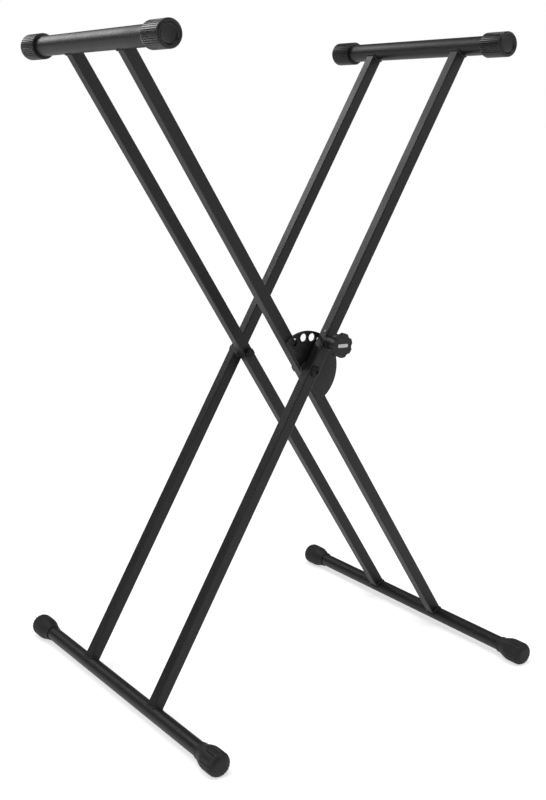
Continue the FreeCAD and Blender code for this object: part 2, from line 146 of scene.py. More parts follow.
def add_cylinder(name: str, sides: int, radius: float, depth: float,
                 spot: Spot = (0.0, 0.0, 0.0)) -> bpy.types.Object:
    """Add a cylinder or prism along Z, as a start or as a cutting tool.

    Args:
        name: The piece's name.
        sides: How many flats go round.
        radius: How far its corners are from its axis.
        depth: Its length.
        spot: Where its middle is.

    Returns:
        The new object.
    """
    bpy.ops.object.select_all(action="DESELECT")
    bpy.ops.mesh.primitive_cylinder_add(vertices=sides, radius=radius, depth=depth, location=spot)
    return new_primitive(name)


def draw_outline(name: str, points: Sequence[Vector], closed: bool) -> bpy.types.Object:
    """Draw a line of edges by extruding one vertex from point to point.

    Args:
        name: The piece's name.
        points: The corners of the line.
        closed: Whether an edge joins the last point to the first.

    Returns:
        The object with the line.
    """
    bpy.ops.object.select_all(action="DESELECT")
    bpy.ops.mesh.primitive_plane_add(size=MM)
    piece = new_primitive(name)
    with editing(piece):
        bpy.ops.mesh.select_all(action="SELECT")
        bpy.ops.mesh.merge(type="CENTER")
        bpy.ops.transform.translate(value=points[0])
        for here, there in zip(points, points[1:]):
            bpy.ops.mesh.extrude_region_move(TRANSFORM_OT_translate={"value": there - here})
        if closed:
            ends = (0, len(points) - 1)
            select_points(piece, lambda vertex: vertex.index in ends)
            bpy.ops.mesh.edge_face_add()
    return piece


def lathe(name: str, outline: Outline, steps: int, closed: bool = False) -> bpy.types.Object:
    """Turn an outline of (radius, height) points about the Z axis.

    Args:
        name: The piece's name.
        outline: The points, from the axis to the axis, or a closed ring of points away from it.
        steps: How many flats go round.
        closed: Whether the outline is a closed ring.

    Returns:
        The turned solid.
    """
    points = [Vector((radius, 0.0, height)) for radius, height in outline]
    piece = draw_outline(name, points, closed)
    with editing(piece):
        bpy.ops.mesh.select_all(action="SELECT")
        bpy.ops.mesh.spin(steps=steps, angle=FULL_TURN, center=(0, 0, 0), axis=(0, 0, 1))
        bpy.ops.mesh.select_all(action="SELECT")
        bpy.ops.mesh.remove_doubles(threshold=MERGE_DISTANCE)
        bpy.ops.mesh.normals_make_consistent(inside=False)
    return piece


def arc(radius: float, height: float, size: float, start: float, end: float,
        steps: int) -> Outline:
    """Points on an arc of an outline.

    Args:
        radius: The arc centre's distance from the axis.
        height: The arc centre's height.
        size: The arc's own radius.
        start: The first angle in degrees, counted from outwards towards up.
        end: The last angle in degrees.
        steps: How many straight pieces the arc has.

    Returns:
        The points, both ends included.
    """
    angles = [math.radians(start + (end - start) * i / steps) for i in range(steps + 1)]
    return [(radius + size * math.cos(a), height + size * math.sin(a)) for a in angles]


def apply_modifier(piece: bpy.types.Object, kind: str, **settings: object) -> None:
    """Add a modifier, set it and apply it.

    Args:
        piece: The object to change.
        kind: The modifier's type.
        **settings: The modifier's own properties.
    """
    modifier = piece.modifiers.new(kind.lower(), kind)
    for key, value in settings.items():
        setattr(modifier, key, value)
    activate(piece)
    bpy.ops.object.modifier_apply(modifier=modifier.name)


def combine(piece: bpy.types.Object, tool: bpy.types.Object, operation: str) -> None:
    """Cut, join or intersect a piece with a tool, and throw the tool away.

    Args:
        piece: The object that is kept.
        tool: The object that is used up.
        operation: DIFFERENCE, UNION or INTERSECT.
    """
    apply_modifier(piece, "BOOLEAN", operation=operation, object=tool, solver="EXACT")
    bpy.data.objects.remove(tool, do_unlink=True)
    with editing(piece):
        bpy.ops.mesh.select_all(action="SELECT")
        bpy.ops.mesh.remove_doubles(threshold=MERGE_DISTANCE)


def ease_edges(piece: bpy.types.Object, width: float, angle: float = 40.0) -> None:
    """Round the sharp edges of a piece.

    Args:
        piece: The object to change.
        width: The width of the rounding.
        angle: The angle in degrees from which an edge counts as sharp.
    """
    apply_modifier(piece, "BEVEL", width=width, segments=EDGE_FLATS, limit_method="ANGLE",
                   angle_limit=math.radians(angle))


def place(piece: bpy.types.Object, matrix: Matrix, smooth: float = 35.0) -> None:
    """Put a finished mesh in its place in the row frame, with its object back at the origin.

    Args:
        piece: The piece.
        matrix: Where its own axes go.
        smooth: The angle in degrees under which edges are shaded smooth.
    """
    activate(piece)
    bpy.ops.object.shade_smooth_by_angle(angle=math.radians(smooth))
    piece.matrix_world = matrix
    bpy.ops.object.transform_apply(location=True, rotation=True, scale=True)


def join(pieces: Sequence[bpy.types.Object], name: str) -> bpy.types.Object:
    """Join several placed pieces into the first one.

    Args:
        pieces: The pieces, all at the origin.
        name: The name of the whole.

    Returns:
        The first piece, which holds them all.
    """
    activate(pieces[0])
    for piece in pieces:
        piece.select_set(True)
    bpy.ops.object.join()
    pieces[0].name = name
    return pieces[0]


def hand_over(piece: bpy.types.Object, finish: "Finish", part: Part, node: str) -> None:
    """Dress a finished piece and let it ride on its body.

    Args:
        piece: The piece, in place.
        finish: Its finish.
        part: The body that it moves with.
        node: The CAD node that it stands for.
    """
    piece.data.materials.clear()
    piece.data.materials.append(finish.material())
    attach(piece, part.value)
    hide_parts(node)
    faces = len(piece.data.polygons)
    logger.info("%s: %d faces, %s, on %s", piece.name, faces, finish.name, part.value)


# ---- shader effects that several finishes share -------------------------------------------------
class ShaderGraph:
    """A node tree with short calls for adding and linking nodes."""

    def __init__(self, tree: bpy.types.NodeTree) -> None:
        """Work on a tree that exists."""
        self.tree = tree

    def add(self, kind: str, settings: dict | None = None, **inputs: object) -> bpy.types.Node:
        """Add a node.

        Args:
            kind: The node's type, without the words ShaderNode.
            settings: Properties of the node.
            **inputs: Values or output sockets for its inputs, with _ for a space in a name.

        Returns:
            The node.
        """
        node = self.tree.nodes.new("ShaderNode" + kind)
        for key, value in (settings or {}).items():
            setattr(node, key, value)
        for key, value in inputs.items():
            self.feed(node.inputs[key.replace("_", " ")], value)
        return node

    def feed(self, socket: bpy.types.NodeSocket, value: object) -> None:
        """Link an output socket to an input, or set the input's value.

        Args:
            socket: The input.
            value: The output socket or the value.
        """
        if isinstance(value, bpy.types.NodeSocket):
            self.tree.links.new(value, socket)
        else:
            socket.default_value = value

    def math(self, operation: str, first: object, second: object,
             third: object = 0.0) -> bpy.types.NodeSocket:
        """Add a Math node.

        Args:
            operation: The node's operation.
            first: Its first value or socket.
            second: Its second value or socket.
            third: Its third value or socket, which only MULTIPLY_ADD uses.

        Returns:
            The result's socket.
        """
        node = self.tree.nodes.new("ShaderNodeMath")
        node.operation = operation
        for socket, value in zip(node.inputs, (first, second, third)):
            self.feed(socket, value)
        return node.outputs[0]

    def blend(self, share: object, low: object, high: object) -> bpy.types.NodeSocket:
        """Mix two colours.

        Args:
            share: How much of the second colour shows.
            low: The first colour or socket.
            high: The second colour or socket.

        Returns:
            The mixed colour's socket.
        """
        node = self.tree.nodes.new("ShaderNodeMix")
        node.data_type = "RGBA"
        self.feed(node.inputs["Factor"], share)
        self.feed(node.inputs["A"], low)
        self.feed(node.inputs["B"], high)
        return node.outputs["Result"]

    def stretch(self, value: object, low: float, high: float) -> bpy.types.NodeSocket:
        """Spread a value so that low becomes 0 and high becomes 1, clamped."""
        node = self.add("MapRange", None, Value=value, From_Min=low, From_Max=high)
        return node.outputs["Result"]


class Effect(Enum):
    """The node groups."""

    GRAIN = "surface_grain"
    EDGES = "worn_edges"
    DUST = "settled_dust"
    SCUFFS = "fine_scuffs"


COARSE_SCALE = 0.22
FINE_SHARE = 0.6
TONE_SCALE = 14.0
EDGE_NOISE_SCALE = 120.0
SCUFF_BEND_SCALE = 30.0
SCUFF_GAP_SCALE = 90.0


def build_grain(graph: ShaderGraph, given: Sockets, made: Sockets) -> None:
    """Fill the group for a pebbled surface, slow changes of tone and tiny pale flecks of painted
    glint.

    Args:
        graph: The group's tree.
        given: The group's input values.
        made: The sockets that the group puts out.
    """
    place_on_piece = graph.add("TexCoord").outputs["Object"]
    fine = graph.add("TexNoise", None, Vector=place_on_piece, Scale=given["Scale"], Detail=3.0,
                     Roughness=given["Softness"])
    coarse_scale = graph.math("MULTIPLY", given["Scale"], COARSE_SCALE)
    coarse = graph.add("TexNoise", None, Vector=place_on_piece, Scale=coarse_scale, Detail=2.0)
    slow = graph.add("TexNoise", None, Vector=place_on_piece, Scale=TONE_SCALE, Detail=4.0)
    fine_part = graph.math("MULTIPLY", fine.outputs["Fac"], FINE_SHARE)
    coarse_part = graph.math("MULTIPLY", coarse.outputs["Fac"], 1.0 - FINE_SHARE)
    graph.feed(made["Height"], graph.math("ADD", fine_part, coarse_part))
    graph.feed(made["Mottle"], graph.stretch(slow.outputs["Fac"], 0.35, 0.7))
    # Painted light: where this mask is high, pale flecks are painted into the base colour as glints
    # of the pebbled coat.
    graph.feed(made["Painted Glints"], graph.stretch(fine.outputs["Fac"], 0.40, 0.60))


def build_edges(graph: ShaderGraph, given: Sockets, made: Sockets) -> None:
    """Fill the group that finds worn outer edges, broken up by noise.

    Args:
        graph: The group's tree.
        given: The group's input values.
        made: The sockets that the group puts out.
    """
    rounded = graph.add("Bevel", {"samples": 4}, Radius=given["Radius"]).outputs["Normal"]
    straight = graph.add("NewGeometry").outputs["Normal"]
    likeness = graph.add("VectorMath", {"operation": "DOT_PRODUCT"})
    graph.feed(likeness.inputs[0], rounded)
    graph.feed(likeness.inputs[1], straight)
    edge = graph.stretch(likeness.outputs["Value"], 0.97, 0.80)
    place_on_piece = graph.add("TexCoord").outputs["Object"]
    noise = graph.add("TexNoise", None, Vector=place_on_piece, Scale=EDGE_NOISE_SCALE,
                      Detail=5.0)
    kept = graph.stretch(noise.outputs["Fac"], given["Break Up"], 0.75)
    graph.feed(made["Mask"], graph.math("MULTIPLY", edge, kept))


def build_dust(graph: ShaderGraph, given: Sockets, made: Sockets) -> None:
    """Fill the group that lays a thin uneven dust on what faces up.

    Args:
        graph: The group's tree.
        given: The group's input values.
        made: The sockets that the group puts out.
    """
    straight = graph.add("NewGeometry").outputs["Normal"]
    up = graph.add("SeparateXYZ", None, Vector=straight).outputs["Z"]
    facing = graph.stretch(up, 0.1, 1.0)
    place_on_piece = graph.add("TexCoord").outputs["Object"]
    noise = graph.add("TexNoise", None, Vector=place_on_piece, Scale=given["Scale"], Detail=6.0)
    patches = graph.stretch(noise.outputs["Fac"], 0.35, 0.75)
    lying = graph.math("MULTIPLY", facing, patches)
    graph.feed(made["Mask"], graph.math("MULTIPLY", lying, given["Amount"]))


def build_scuffs(graph: ShaderGraph, given: Sockets, made: Sockets) -> None:
    """Fill the group that draws short thin handling marks.

    Args:
        graph: The group's tree.
        given: The group's input values.
        made: The sockets that the group puts out.
    """
    place_on_piece = graph.add("TexCoord").outputs["Object"]
    bent = graph.add("TexNoise", None, Vector=place_on_piece, Scale=SCUFF_BEND_SCALE, Detail=2.0)
    shifted = graph.add("VectorMath", {"operation": "ADD"})
    graph.feed(shifted.inputs[0], place_on_piece)
    graph.feed(shifted.inputs[1], bent.outputs["Color"])
    cells = graph.add("TexVoronoi", {"feature": "DISTANCE_TO_EDGE"},
                      Vector=shifted.outputs["Vector"], Scale=given["Scale"])
    line = graph.stretch(cells.outputs["Distance"], 0.02, 0.0)
    gaps = graph.add("TexNoise", None, Vector=place_on_piece, Scale=SCUFF_GAP_SCALE, Detail=3.0)
    shown = graph.stretch(gaps.outputs["Fac"], 0.55, 0.7)
    marks = graph.math("MULTIPLY", line, shown)
    graph.feed(made["Mask"], graph.math("MULTIPLY", marks, given["Amount"]))


RECIPES = {
    Effect.GRAIN: (build_grain, ("Scale", "Softness"), ("Height", "Mottle", "Painted Glints")),
    Effect.EDGES: (build_edges, ("Radius", "Break Up"), ("Mask",)),
    Effect.DUST: (build_dust, ("Amount", "Scale"), ("Mask",)),
    Effect.SCUFFS: (build_scuffs, ("Scale", "Amount"), ("Mask",)),
}


def effect_group(effect: Effect) -> bpy.types.NodeTree:
    """Build a node group once, or find it.

    Args:
        effect: The effect that is wanted.

    Returns:
        Its node group.
    """
    found = bpy.data.node_groups.get(effect.value)
    if found:
        return found
    tree = bpy.data.node_groups.new(effect.value, "ShaderNodeTree")
    builder, wanted, given = RECIPES[effect]
    for names, way in ((wanted, "INPUT"), (given, "OUTPUT")):
        for name in names:
            tree.interface.new_socket(name, in_out=way, socket_type="NodeSocketFloat")
    start = tree.nodes.new("NodeGroupInput")
    end = tree.nodes.new("NodeGroupOutput")
    builder(ShaderGraph(tree), start.outputs, end.inputs)
    return tree


# ---- finishes -----------------------------------------------------------------------------------
@dataclass(frozen=True)
class Finish:
    """One surface finish: its colours, its gloss, its grain, its painted glints and its signs of
    use.
    """

    name: str
    slot: str
    color: Color
    mottled: Color
    roughness: float
    roughness_spread: float
    grain_scale: float
    grain_height: float
    worn: Color = (0.08, 0.08, 0.085)
    edge_share: float = 0.0
    dust: float = 0.0
    scuffs: float = 0.0
    metallic: float = 0.0
    specular: float = 0.5
    # Painted light: pale flecks painted into the base colour stand in for the glints and self-shade
    # of a pebbled coat; their share and their colour.
    painted_glint_share: float = 0.0
    painted_glint_color: Color = (0.016, 0.016, 0.0165)
    dust_color: Color = (0.30, 0.29, 0.28)
    dust_scale: float = 60.0
    dust_roughness: float = 0.4
    scuff_scale: float = 160.0
    grain_softness: float = 0.6
    edge_radius: float = 0.6 * MM
    edge_break_up: float = 0.35

    def group(self, graph: ShaderGraph, effect: Effect, **inputs: object) -> Sockets:
        """Place a shared effect in this material.

        Args:
            graph: The material's tree.
            effect: The effect.
            **inputs: Its values, with _ for a space in a name.

        Returns:
            The effect's outputs.
        """
        node = graph.tree.nodes.new("ShaderNodeGroup")
        node.node_tree = effect_group(effect)
        for key, value in inputs.items():
            graph.feed(node.inputs[key.replace("_", " ")], value)
        return node.outputs

    def material(self) -> bpy.types.Material:
        """Build the material once, or find it.

        Returns:
            The material.
        """
        found = bpy.data.materials.get(self.name)
        if found:
            return found
        material = bpy.data.materials.new(self.name)
        material.use_nodes = True
        graph = ShaderGraph(material.node_tree)
        shader = material.node_tree.nodes["Principled BSDF"]
        grain = self.group(graph, Effect.GRAIN, Scale=self.grain_scale,
                           Softness=self.grain_softness)
        dust = self.group(graph, Effect.DUST, Amount=self.dust, Scale=self.dust_scale)["Mask"]
        scuffs = self.group(graph, Effect.SCUFFS, Scale=self.scuff_scale,
                            Amount=self.scuffs)["Mask"]
        color = graph.blend(grain["Mottle"], (*self.color, 1.0), (*self.mottled, 1.0))
        # Painted light: pale flecks mixed into the base colour as the glints and self-shade of the
        # pebbled coat.
        painted_glint_mask = graph.math("MULTIPLY", grain["Painted Glints"], self.painted_glint_share)
        color = graph.blend(painted_glint_mask, color, (*self.painted_glint_color, 1.0))
        color = graph.blend(scuffs, color, (*self.worn, 1.0))
        if self.edge_share:
            edges = self.group(graph, Effect.EDGES, Radius=self.edge_radius,
                               Break_Up=self.edge_break_up)["Mask"]
            edges = graph.math("MULTIPLY", edges, self.edge_share)
            color = graph.blend(edges, color, (*self.worn, 1.0))
        color = graph.blend(dust, color, (*self.dust_color, 1.0))
        rough = graph.math("MULTIPLY_ADD", grain["Mottle"], self.roughness_spread, self.roughness)
        rough = graph.math("MULTIPLY_ADD", dust, self.dust_roughness, rough)
        bump = graph.add("Bump", None, Strength=1.0, Distance=self.grain_height,
                         Height=grain["Height"])
        graph.feed(shader.inputs["Base Color"], color)
        graph.feed(shader.inputs["Roughness"], rough)
        graph.feed(shader.inputs["Normal"], bump.outputs["Normal"])
        shader.inputs["Metallic"].default_value = self.metallic
        shader.inputs["Specular IOR Level"].default_value = self.specular
        return material


# Painted light: the powder coat has pale flecks of painted glint in its near-black base colour.
POWDER_COAT = Finish(
    "satin_powder_coat", "powder_coat", (0.002, 0.002, 0.0021), (0.004, 0.004, 0.0042),
    0.38, 0.12, 520.0, 0.09 * MM, edge_share=0.35, dust=0.02, scuffs=0.25, specular=0.4,
    painted_glint_share=0.55)
CAP_RUBBER = Finish(
    "moulded_cap_rubber", "cap_rubber", (0.008, 0.008, 0.0083), (0.012, 0.012, 0.0124),
    0.30, 0.08, 900.0, 0.03 * MM, edge_share=0.5, dust=0.04, scuffs=0.3, specular=0.38,
    worn=(0.05, 0.05, 0.052))
FOOT_RUBBER = Finish(
    "moulded_foot_rubber", "foot_rubber", (0.007, 0.007, 0.0073), (0.012, 0.012, 0.0124),
    0.50, 0.15, 700.0, 0.06 * MM, edge_share=0.5, dust=0.03, scuffs=0.5, specular=0.4,
    worn=(0.05, 0.05, 0.052))
KNOB_PLASTIC = Finish(
    "moulded_knob_plastic", "knob_plastic", (0.006, 0.006, 0.0062), (0.009, 0.009, 0.0093),
    0.30, 0.10, 1100.0, 0.02 * MM, edge_share=0.4, dust=0.02, scuffs=0.4, specular=0.4)
INLAY_PLASTIC = Finish(
    "pale_inlay_plastic", "inlay", (0.66, 0.66, 0.66), (0.60, 0.60, 0.60),
    0.30, 0.08, 500.0, 0.02 * MM, scuffs=0.15, worn=(0.4, 0.4, 0.4))
BLACK_OXIDE = Finish(
    "black_oxide_steel", "black_hardware", (0.012, 0.012, 0.013), (0.020, 0.020, 0.021),
    0.34, 0.15, 800.0, 0.03 * MM, metallic=0.6, edge_share=0.25, dust=0.02, scuffs=0.3,
    specular=0.4)
ZINC_STEEL = Finish(
    "zinc_plated_steel", "zinc_steel", (0.52, 0.53, 0.54), (0.62, 0.62, 0.61),
    0.26, 0.20, 500.0, 0.03 * MM, metallic=1.0, edge_share=0.3, scuffs=0.5,
    worn=(0.75, 0.75, 0.75))
DULL_STEEL = Finish(
    "dull_rivet_steel", "zinc_steel", (0.20, 0.20, 0.205), (0.26, 0.26, 0.26),
    0.45, 0.15, 500.0, 0.03 * MM, metallic=0.8, scuffs=0.5, worn=(0.4, 0.4, 0.4))
NYLON = Finish(
    "moulded_nylon", "nylon", (0.018, 0.018, 0.0185), (0.026, 0.026, 0.0265),
    0.48, 0.10, 700.0, 0.03 * MM, dust=0.03, scuffs=0.2)


# ---- where things are ---------------------------------------------------------------------------
@dataclass(frozen=True)
class LeaningFrame:
    """One of the two crossing frames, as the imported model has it."""

    part: Part

    @property
    def prefix(self) -> str:
        """The first word of this frame's node names."""
        return "inner" if self.part is Part.INNER else "outer"

    @property
    def pivot(self) -> Vector:
        """A point on the pivot line, at Y = 0."""
        fold = next(joint for joint in frame["joints"] if joint["name"] == "fold")
        return Vector(fold["pos_m"])

    def bar(self, which: str) -> tuple[Vector, float, float]:
        """Middle, radius and length of the frame's top or base bar."""
        low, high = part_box(f"{self.prefix}_{which}_bar")
        return (low + high) / 2.0, (high.z - low.z) / 2.0, high.y - low.y

    @property
    def reach(self) -> float:
        """The distance from the pivot to either bar's axis."""
        return (self.bar("top")[0] - self.pivot).length

    def upright(self) -> Matrix:
        """The matrix that leans an upright frame about the pivot and lifts it into place."""
        arm = self.bar("top")[0] - self.pivot
        lean = Matrix.Rotation(math.atan2(arm.x, arm.z), 4, "Y")
        return Matrix.Translation(self.pivot) @ lean

    def facing(self, side: Side, distance: float, height: float) -> Matrix:
        """Where a piece goes whose own Z axis points away from the stand's middle.

        Args:
            side: The side that it is on.
            distance: How far its origin is from the middle plane.
            height: How far its origin is up the leg from the pivot.

        Returns:
            The matrix. On the near side the piece's X and Y are the frame's X and Z.
        """
        turn = Matrix.Rotation(math.radians(-90.0 * side.value), 4, "X")
        return self.upright() @ Matrix.Translation((0.0, side.value * distance, height)) @ turn


INNER = LeaningFrame(Part.INNER)
OUTER = LeaningFrame(Part.OUTER)


# ---- rubber -------------------------------------------------------------------------------------
@dataclass
class TopCap:
    """A ribbed rubber cap on one end of a top bar, with a dished end and a rounded lip."""

    owner: LeaningFrame
    side: Side
    ribs: int = 40
    steps_per_rib: int = 8
    groove_depth: float = 0.75 * MM
    end_round: float = 2.4 * MM
    rim_round: float = 0.8 * MM
    end_thickness: float = 5.0 * MM
    dish_radius: float = 12.1 * MM
    dish_depth: float = 3.1 * MM
    wall_angle: float = 20.0
    groove_stop: float = 1.0 * MM
    side_slack: float = 0.1 * MM
    groove_columns: tuple[tuple[int, float], ...] = ((5, 0.55), (6, 1.0), (7, 0.55))
    node: str = field(init=False)

    def __post_init__(self) -> None:
        """Read the cap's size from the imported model."""
        self.node = f"{self.owner.prefix}_top_cap_{self.side.name.lower()}"
        low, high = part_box(self.node)
        self.length = high.y - low.y
        self.radius = (high.z - low.z) / 2.0
        self.rim = min(abs(low.y), abs(high.y))
        self.bore = self.owner.bar("top")[1] + FIT_GAP

    def outline(self) -> Outline:
        """Draw the cap's section.

        Returns:
            The points, from the dish round the outside to the bottom of the bore.
        """
        floor = self.dish_radius - self.dish_depth
        lean = math.sin(math.radians(self.wall_angle))
        lip = self.dish_depth * lean / (1.0 - lean)
        dish = arc(floor, self.length, self.dish_depth, -90.0, -self.wall_angle, 5)
        lip_middle = floor + (self.dish_depth + lip) * math.cos(math.radians(self.wall_angle))
        lip_arc = arc(lip_middle, self.length - lip, lip, 180.0 - self.wall_angle, 90.0, 4)
        shoulder = arc(self.radius - self.end_round, self.length - self.end_round,
                       self.end_round, 90.0, 0.0, 6)
        groove_end = self.length - self.end_round - self.groove_stop
        rim = arc(self.radius - self.rim_round, self.rim_round, self.rim_round, 0.0, -90.0, 3)
        bore = [(self.bore, 0.0), (self.bore, self.length - self.end_thickness),
                (0.0, self.length - self.end_thickness)]
        middle = [(0.0, self.length - self.dish_depth)]
        return middle + dish + lip_arc[1:] + shoulder + [(self.radius, groove_end)] + rim + bore

    def press_grooves(self, cap: bpy.types.Object) -> None:
        """Move the columns between the ribs inwards, the middle column furthest.

        Args:
            cap: The turned cap.
        """
        columns = self.ribs * self.steps_per_rib
        top = self.length - self.end_round - self.groove_stop / 2.0
        inside = self.radius - self.rim_round - self.side_slack
        with editing(cap):
            for column, share in self.groove_columns:
                def between_ribs(vertex: bmesh.types.BMVert, column: int = column) -> bool:
                    """Tell whether a vertex is on the cap's side, in one column of its rib.

                    Args:
                        vertex: The vertex.
                        column: The column, counted from the rib's start.

                    Returns:
                        Whether it is.
                    """
                    point = vertex.co
                    if point.z > top or math.hypot(point.x, point.y) < inside:
                        return False
                    number = round(math.atan2(point.y, point.x) / FULL_TURN * columns)
                    return number % self.steps_per_rib == column

                select_points(cap, between_ribs)
                scale = 1.0 - self.groove_depth * share / self.radius
                bpy.ops.transform.resize(value=(scale, scale, 1.0),
                                         center_override=(0.0, 0.0, 0.0))

    def build(self) -> None:
        """Model the cap and hand it over."""
        name = f"ribbed_cap_{self.owner.prefix}_{self.side.name.lower()}"
        cap = lathe(name, self.outline(), self.ribs * self.steps_per_rib)
        self.press_grooves(cap)
        place(cap, self.owner.facing(self.side, self.rim, self.owner.reach))
        hand_over(cap, CAP_RUBBER, self.owner.part, self.node)


@dataclass
class Foot:
    """A rubber foot of a base bar: a widening collar, a ribbed round end and a small flat."""

    owner: LeaningFrame
    side: Side
    ribs: int = 20
    steps_per_rib: int = 8
    rows: int = 10
    collar_length: float = 23.0 * MM
    rim_radius: float = 11.5 * MM
    rim_round: float = 0.9 * MM
    lip_length: float = 3.5 * MM
    end_round: float = 8.5 * MM
    end_thickness: float = 5.0 * MM
    end_flat: float = 5.0 * MM
    swell_power: float = 0.85
    groove_depth: float = 0.8 * MM
    groove_levels: int = 4
    groove_lead: float = 2.0 * MM
    groove_fade: float = 3.0 * MM
    groove_reach: float = 0.75
    groove_columns: tuple[tuple[int, float], ...] = ((3, 0.6), (4, 1.0), (5, 0.6))
    node: str = field(init=False)

    def __post_init__(self) -> None:
        """Read the foot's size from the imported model."""
        self.node = f"{self.owner.prefix}_foot_{self.side.name.lower()}"
        low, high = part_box(self.node)
        self.length = high.y - low.y
        self.radius = (high.x - low.x) / 2.0
        self.rim = min(abs(low.y), abs(high.y))
        self.axis = Vector(((low.x + high.x) / 2.0, 0.0, high.z - self.radius))
        self.bore = self.owner.bar("base")[1] + FIT_GAP

    def outline(self) -> Outline:
        """Draw the foot's section.

        Returns:
            The points, from the middle of its end to the bottom of its bore.
        """
        crown = arc(self.radius - self.end_round, self.length - self.end_round, self.end_round,
                    90.0, 0.0, 12)
        straight = self.length - self.end_round - self.collar_length
        side = [(self.radius, self.collar_length + straight * (1.0 - i / self.rows))
                for i in range(1, self.rows)]
        collar = []
        for i in range(self.rows + 1):
            share = 1.0 - i / self.rows
            swell = 0.5 - 0.5 * math.cos(math.pi * share ** self.swell_power)
            collar.append((self.rim_radius + (self.radius - self.rim_radius) * swell,
                           self.lip_length + (self.collar_length - self.lip_length) * share))
        rim = arc(self.rim_radius - self.rim_round, self.rim_round, self.rim_round,
                  0.0, -90.0, 4)
        bore = [(self.bore, 0.0), (self.bore, self.length - self.end_thickness),
                (0.0, self.length - self.end_thickness)]
        end = [(0.0, self.length), (self.end_flat, self.length)]
        return end + crown + side + collar + rim + bore

    def groove_share(self, point: Vector) -> float:
        """Tell how deep the grooves are at a point of the outside.

        Args:
            point: The point.

        Returns:
            The share of the whole depth, from 0 to 1.
        """
        inner_end = self.radius - self.groove_reach * self.end_round
        fade_in = (point.z - self.collar_length + self.groove_lead) / self.groove_fade
        fade_out = (math.hypot(point.x, point.y) - inner_end) / self.groove_fade
        return max(0.0, min(1.0, fade_in, fade_out))

    def press_grooves(self, foot: bpy.types.Object) -> None:
        """Move the columns between the ribs inwards, in steps that fade out at both ends.

        Args:
            foot: The turned foot.
        """
        columns = self.ribs * self.steps_per_rib
        levels = self.groove_levels
        with editing(foot):
            for column, depth in self.groove_columns:
                for level in range(1, levels + 1):
                    def in_step(vertex: bmesh.types.BMVert, column: int = column,
                                level: int = level) -> bool:
                        """Tell whether a vertex is in one column, at one depth of groove.

                        Args:
                            vertex: The vertex.
                            column: The column, counted from the rib's start.
                            level: The depth, in steps.

                        Returns:
                            Whether it is.
                        """
                        point = vertex.co
                        number = round(math.atan2(point.y, point.x) / FULL_TURN * columns)
                        away = math.hypot(point.x, point.y)
                        outside = away > self.bore + MM or point.z > self.length - MM
                        return (outside and number % self.steps_per_rib == column
                                and math.ceil(levels * self.groove_share(point)) == level)

                    select_points(foot, in_step)
                    scale = 1.0 - self.groove_depth * depth * level / levels / self.radius
                    bpy.ops.transform.resize(value=(scale, scale, 1.0),
                                             center_override=(0.0, 0.0, 0.0))

    def build(self) -> None:
        """Model the foot with a rib pointing down, cut its flat and hand it over."""
        name = f"ribbed_foot_{self.owner.prefix}_{self.side.name.lower()}"
        foot = lathe(name, self.outline(), self.ribs * self.steps_per_rib)
        self.press_grooves(foot)
        spot = Matrix.Translation(self.axis + Vector((0.0, self.side.value * self.rim, 0.0)))
        turn = Matrix.Rotation(math.radians(-90.0 * self.side.value), 4, "X")
        place(foot, spot @ turn)
        with editing(foot):
            bpy.ops.mesh.select_all(action="SELECT")
            bpy.ops.mesh.bisect(plane_co=(0, 0, 0), plane_no=(0, 0, 1), use_fill=True,
                                clear_inner=True, threshold=MERGE_DISTANCE / 10.0)
        hand_over(foot, FOOT_RUBBER, self.owner.part, self.node)


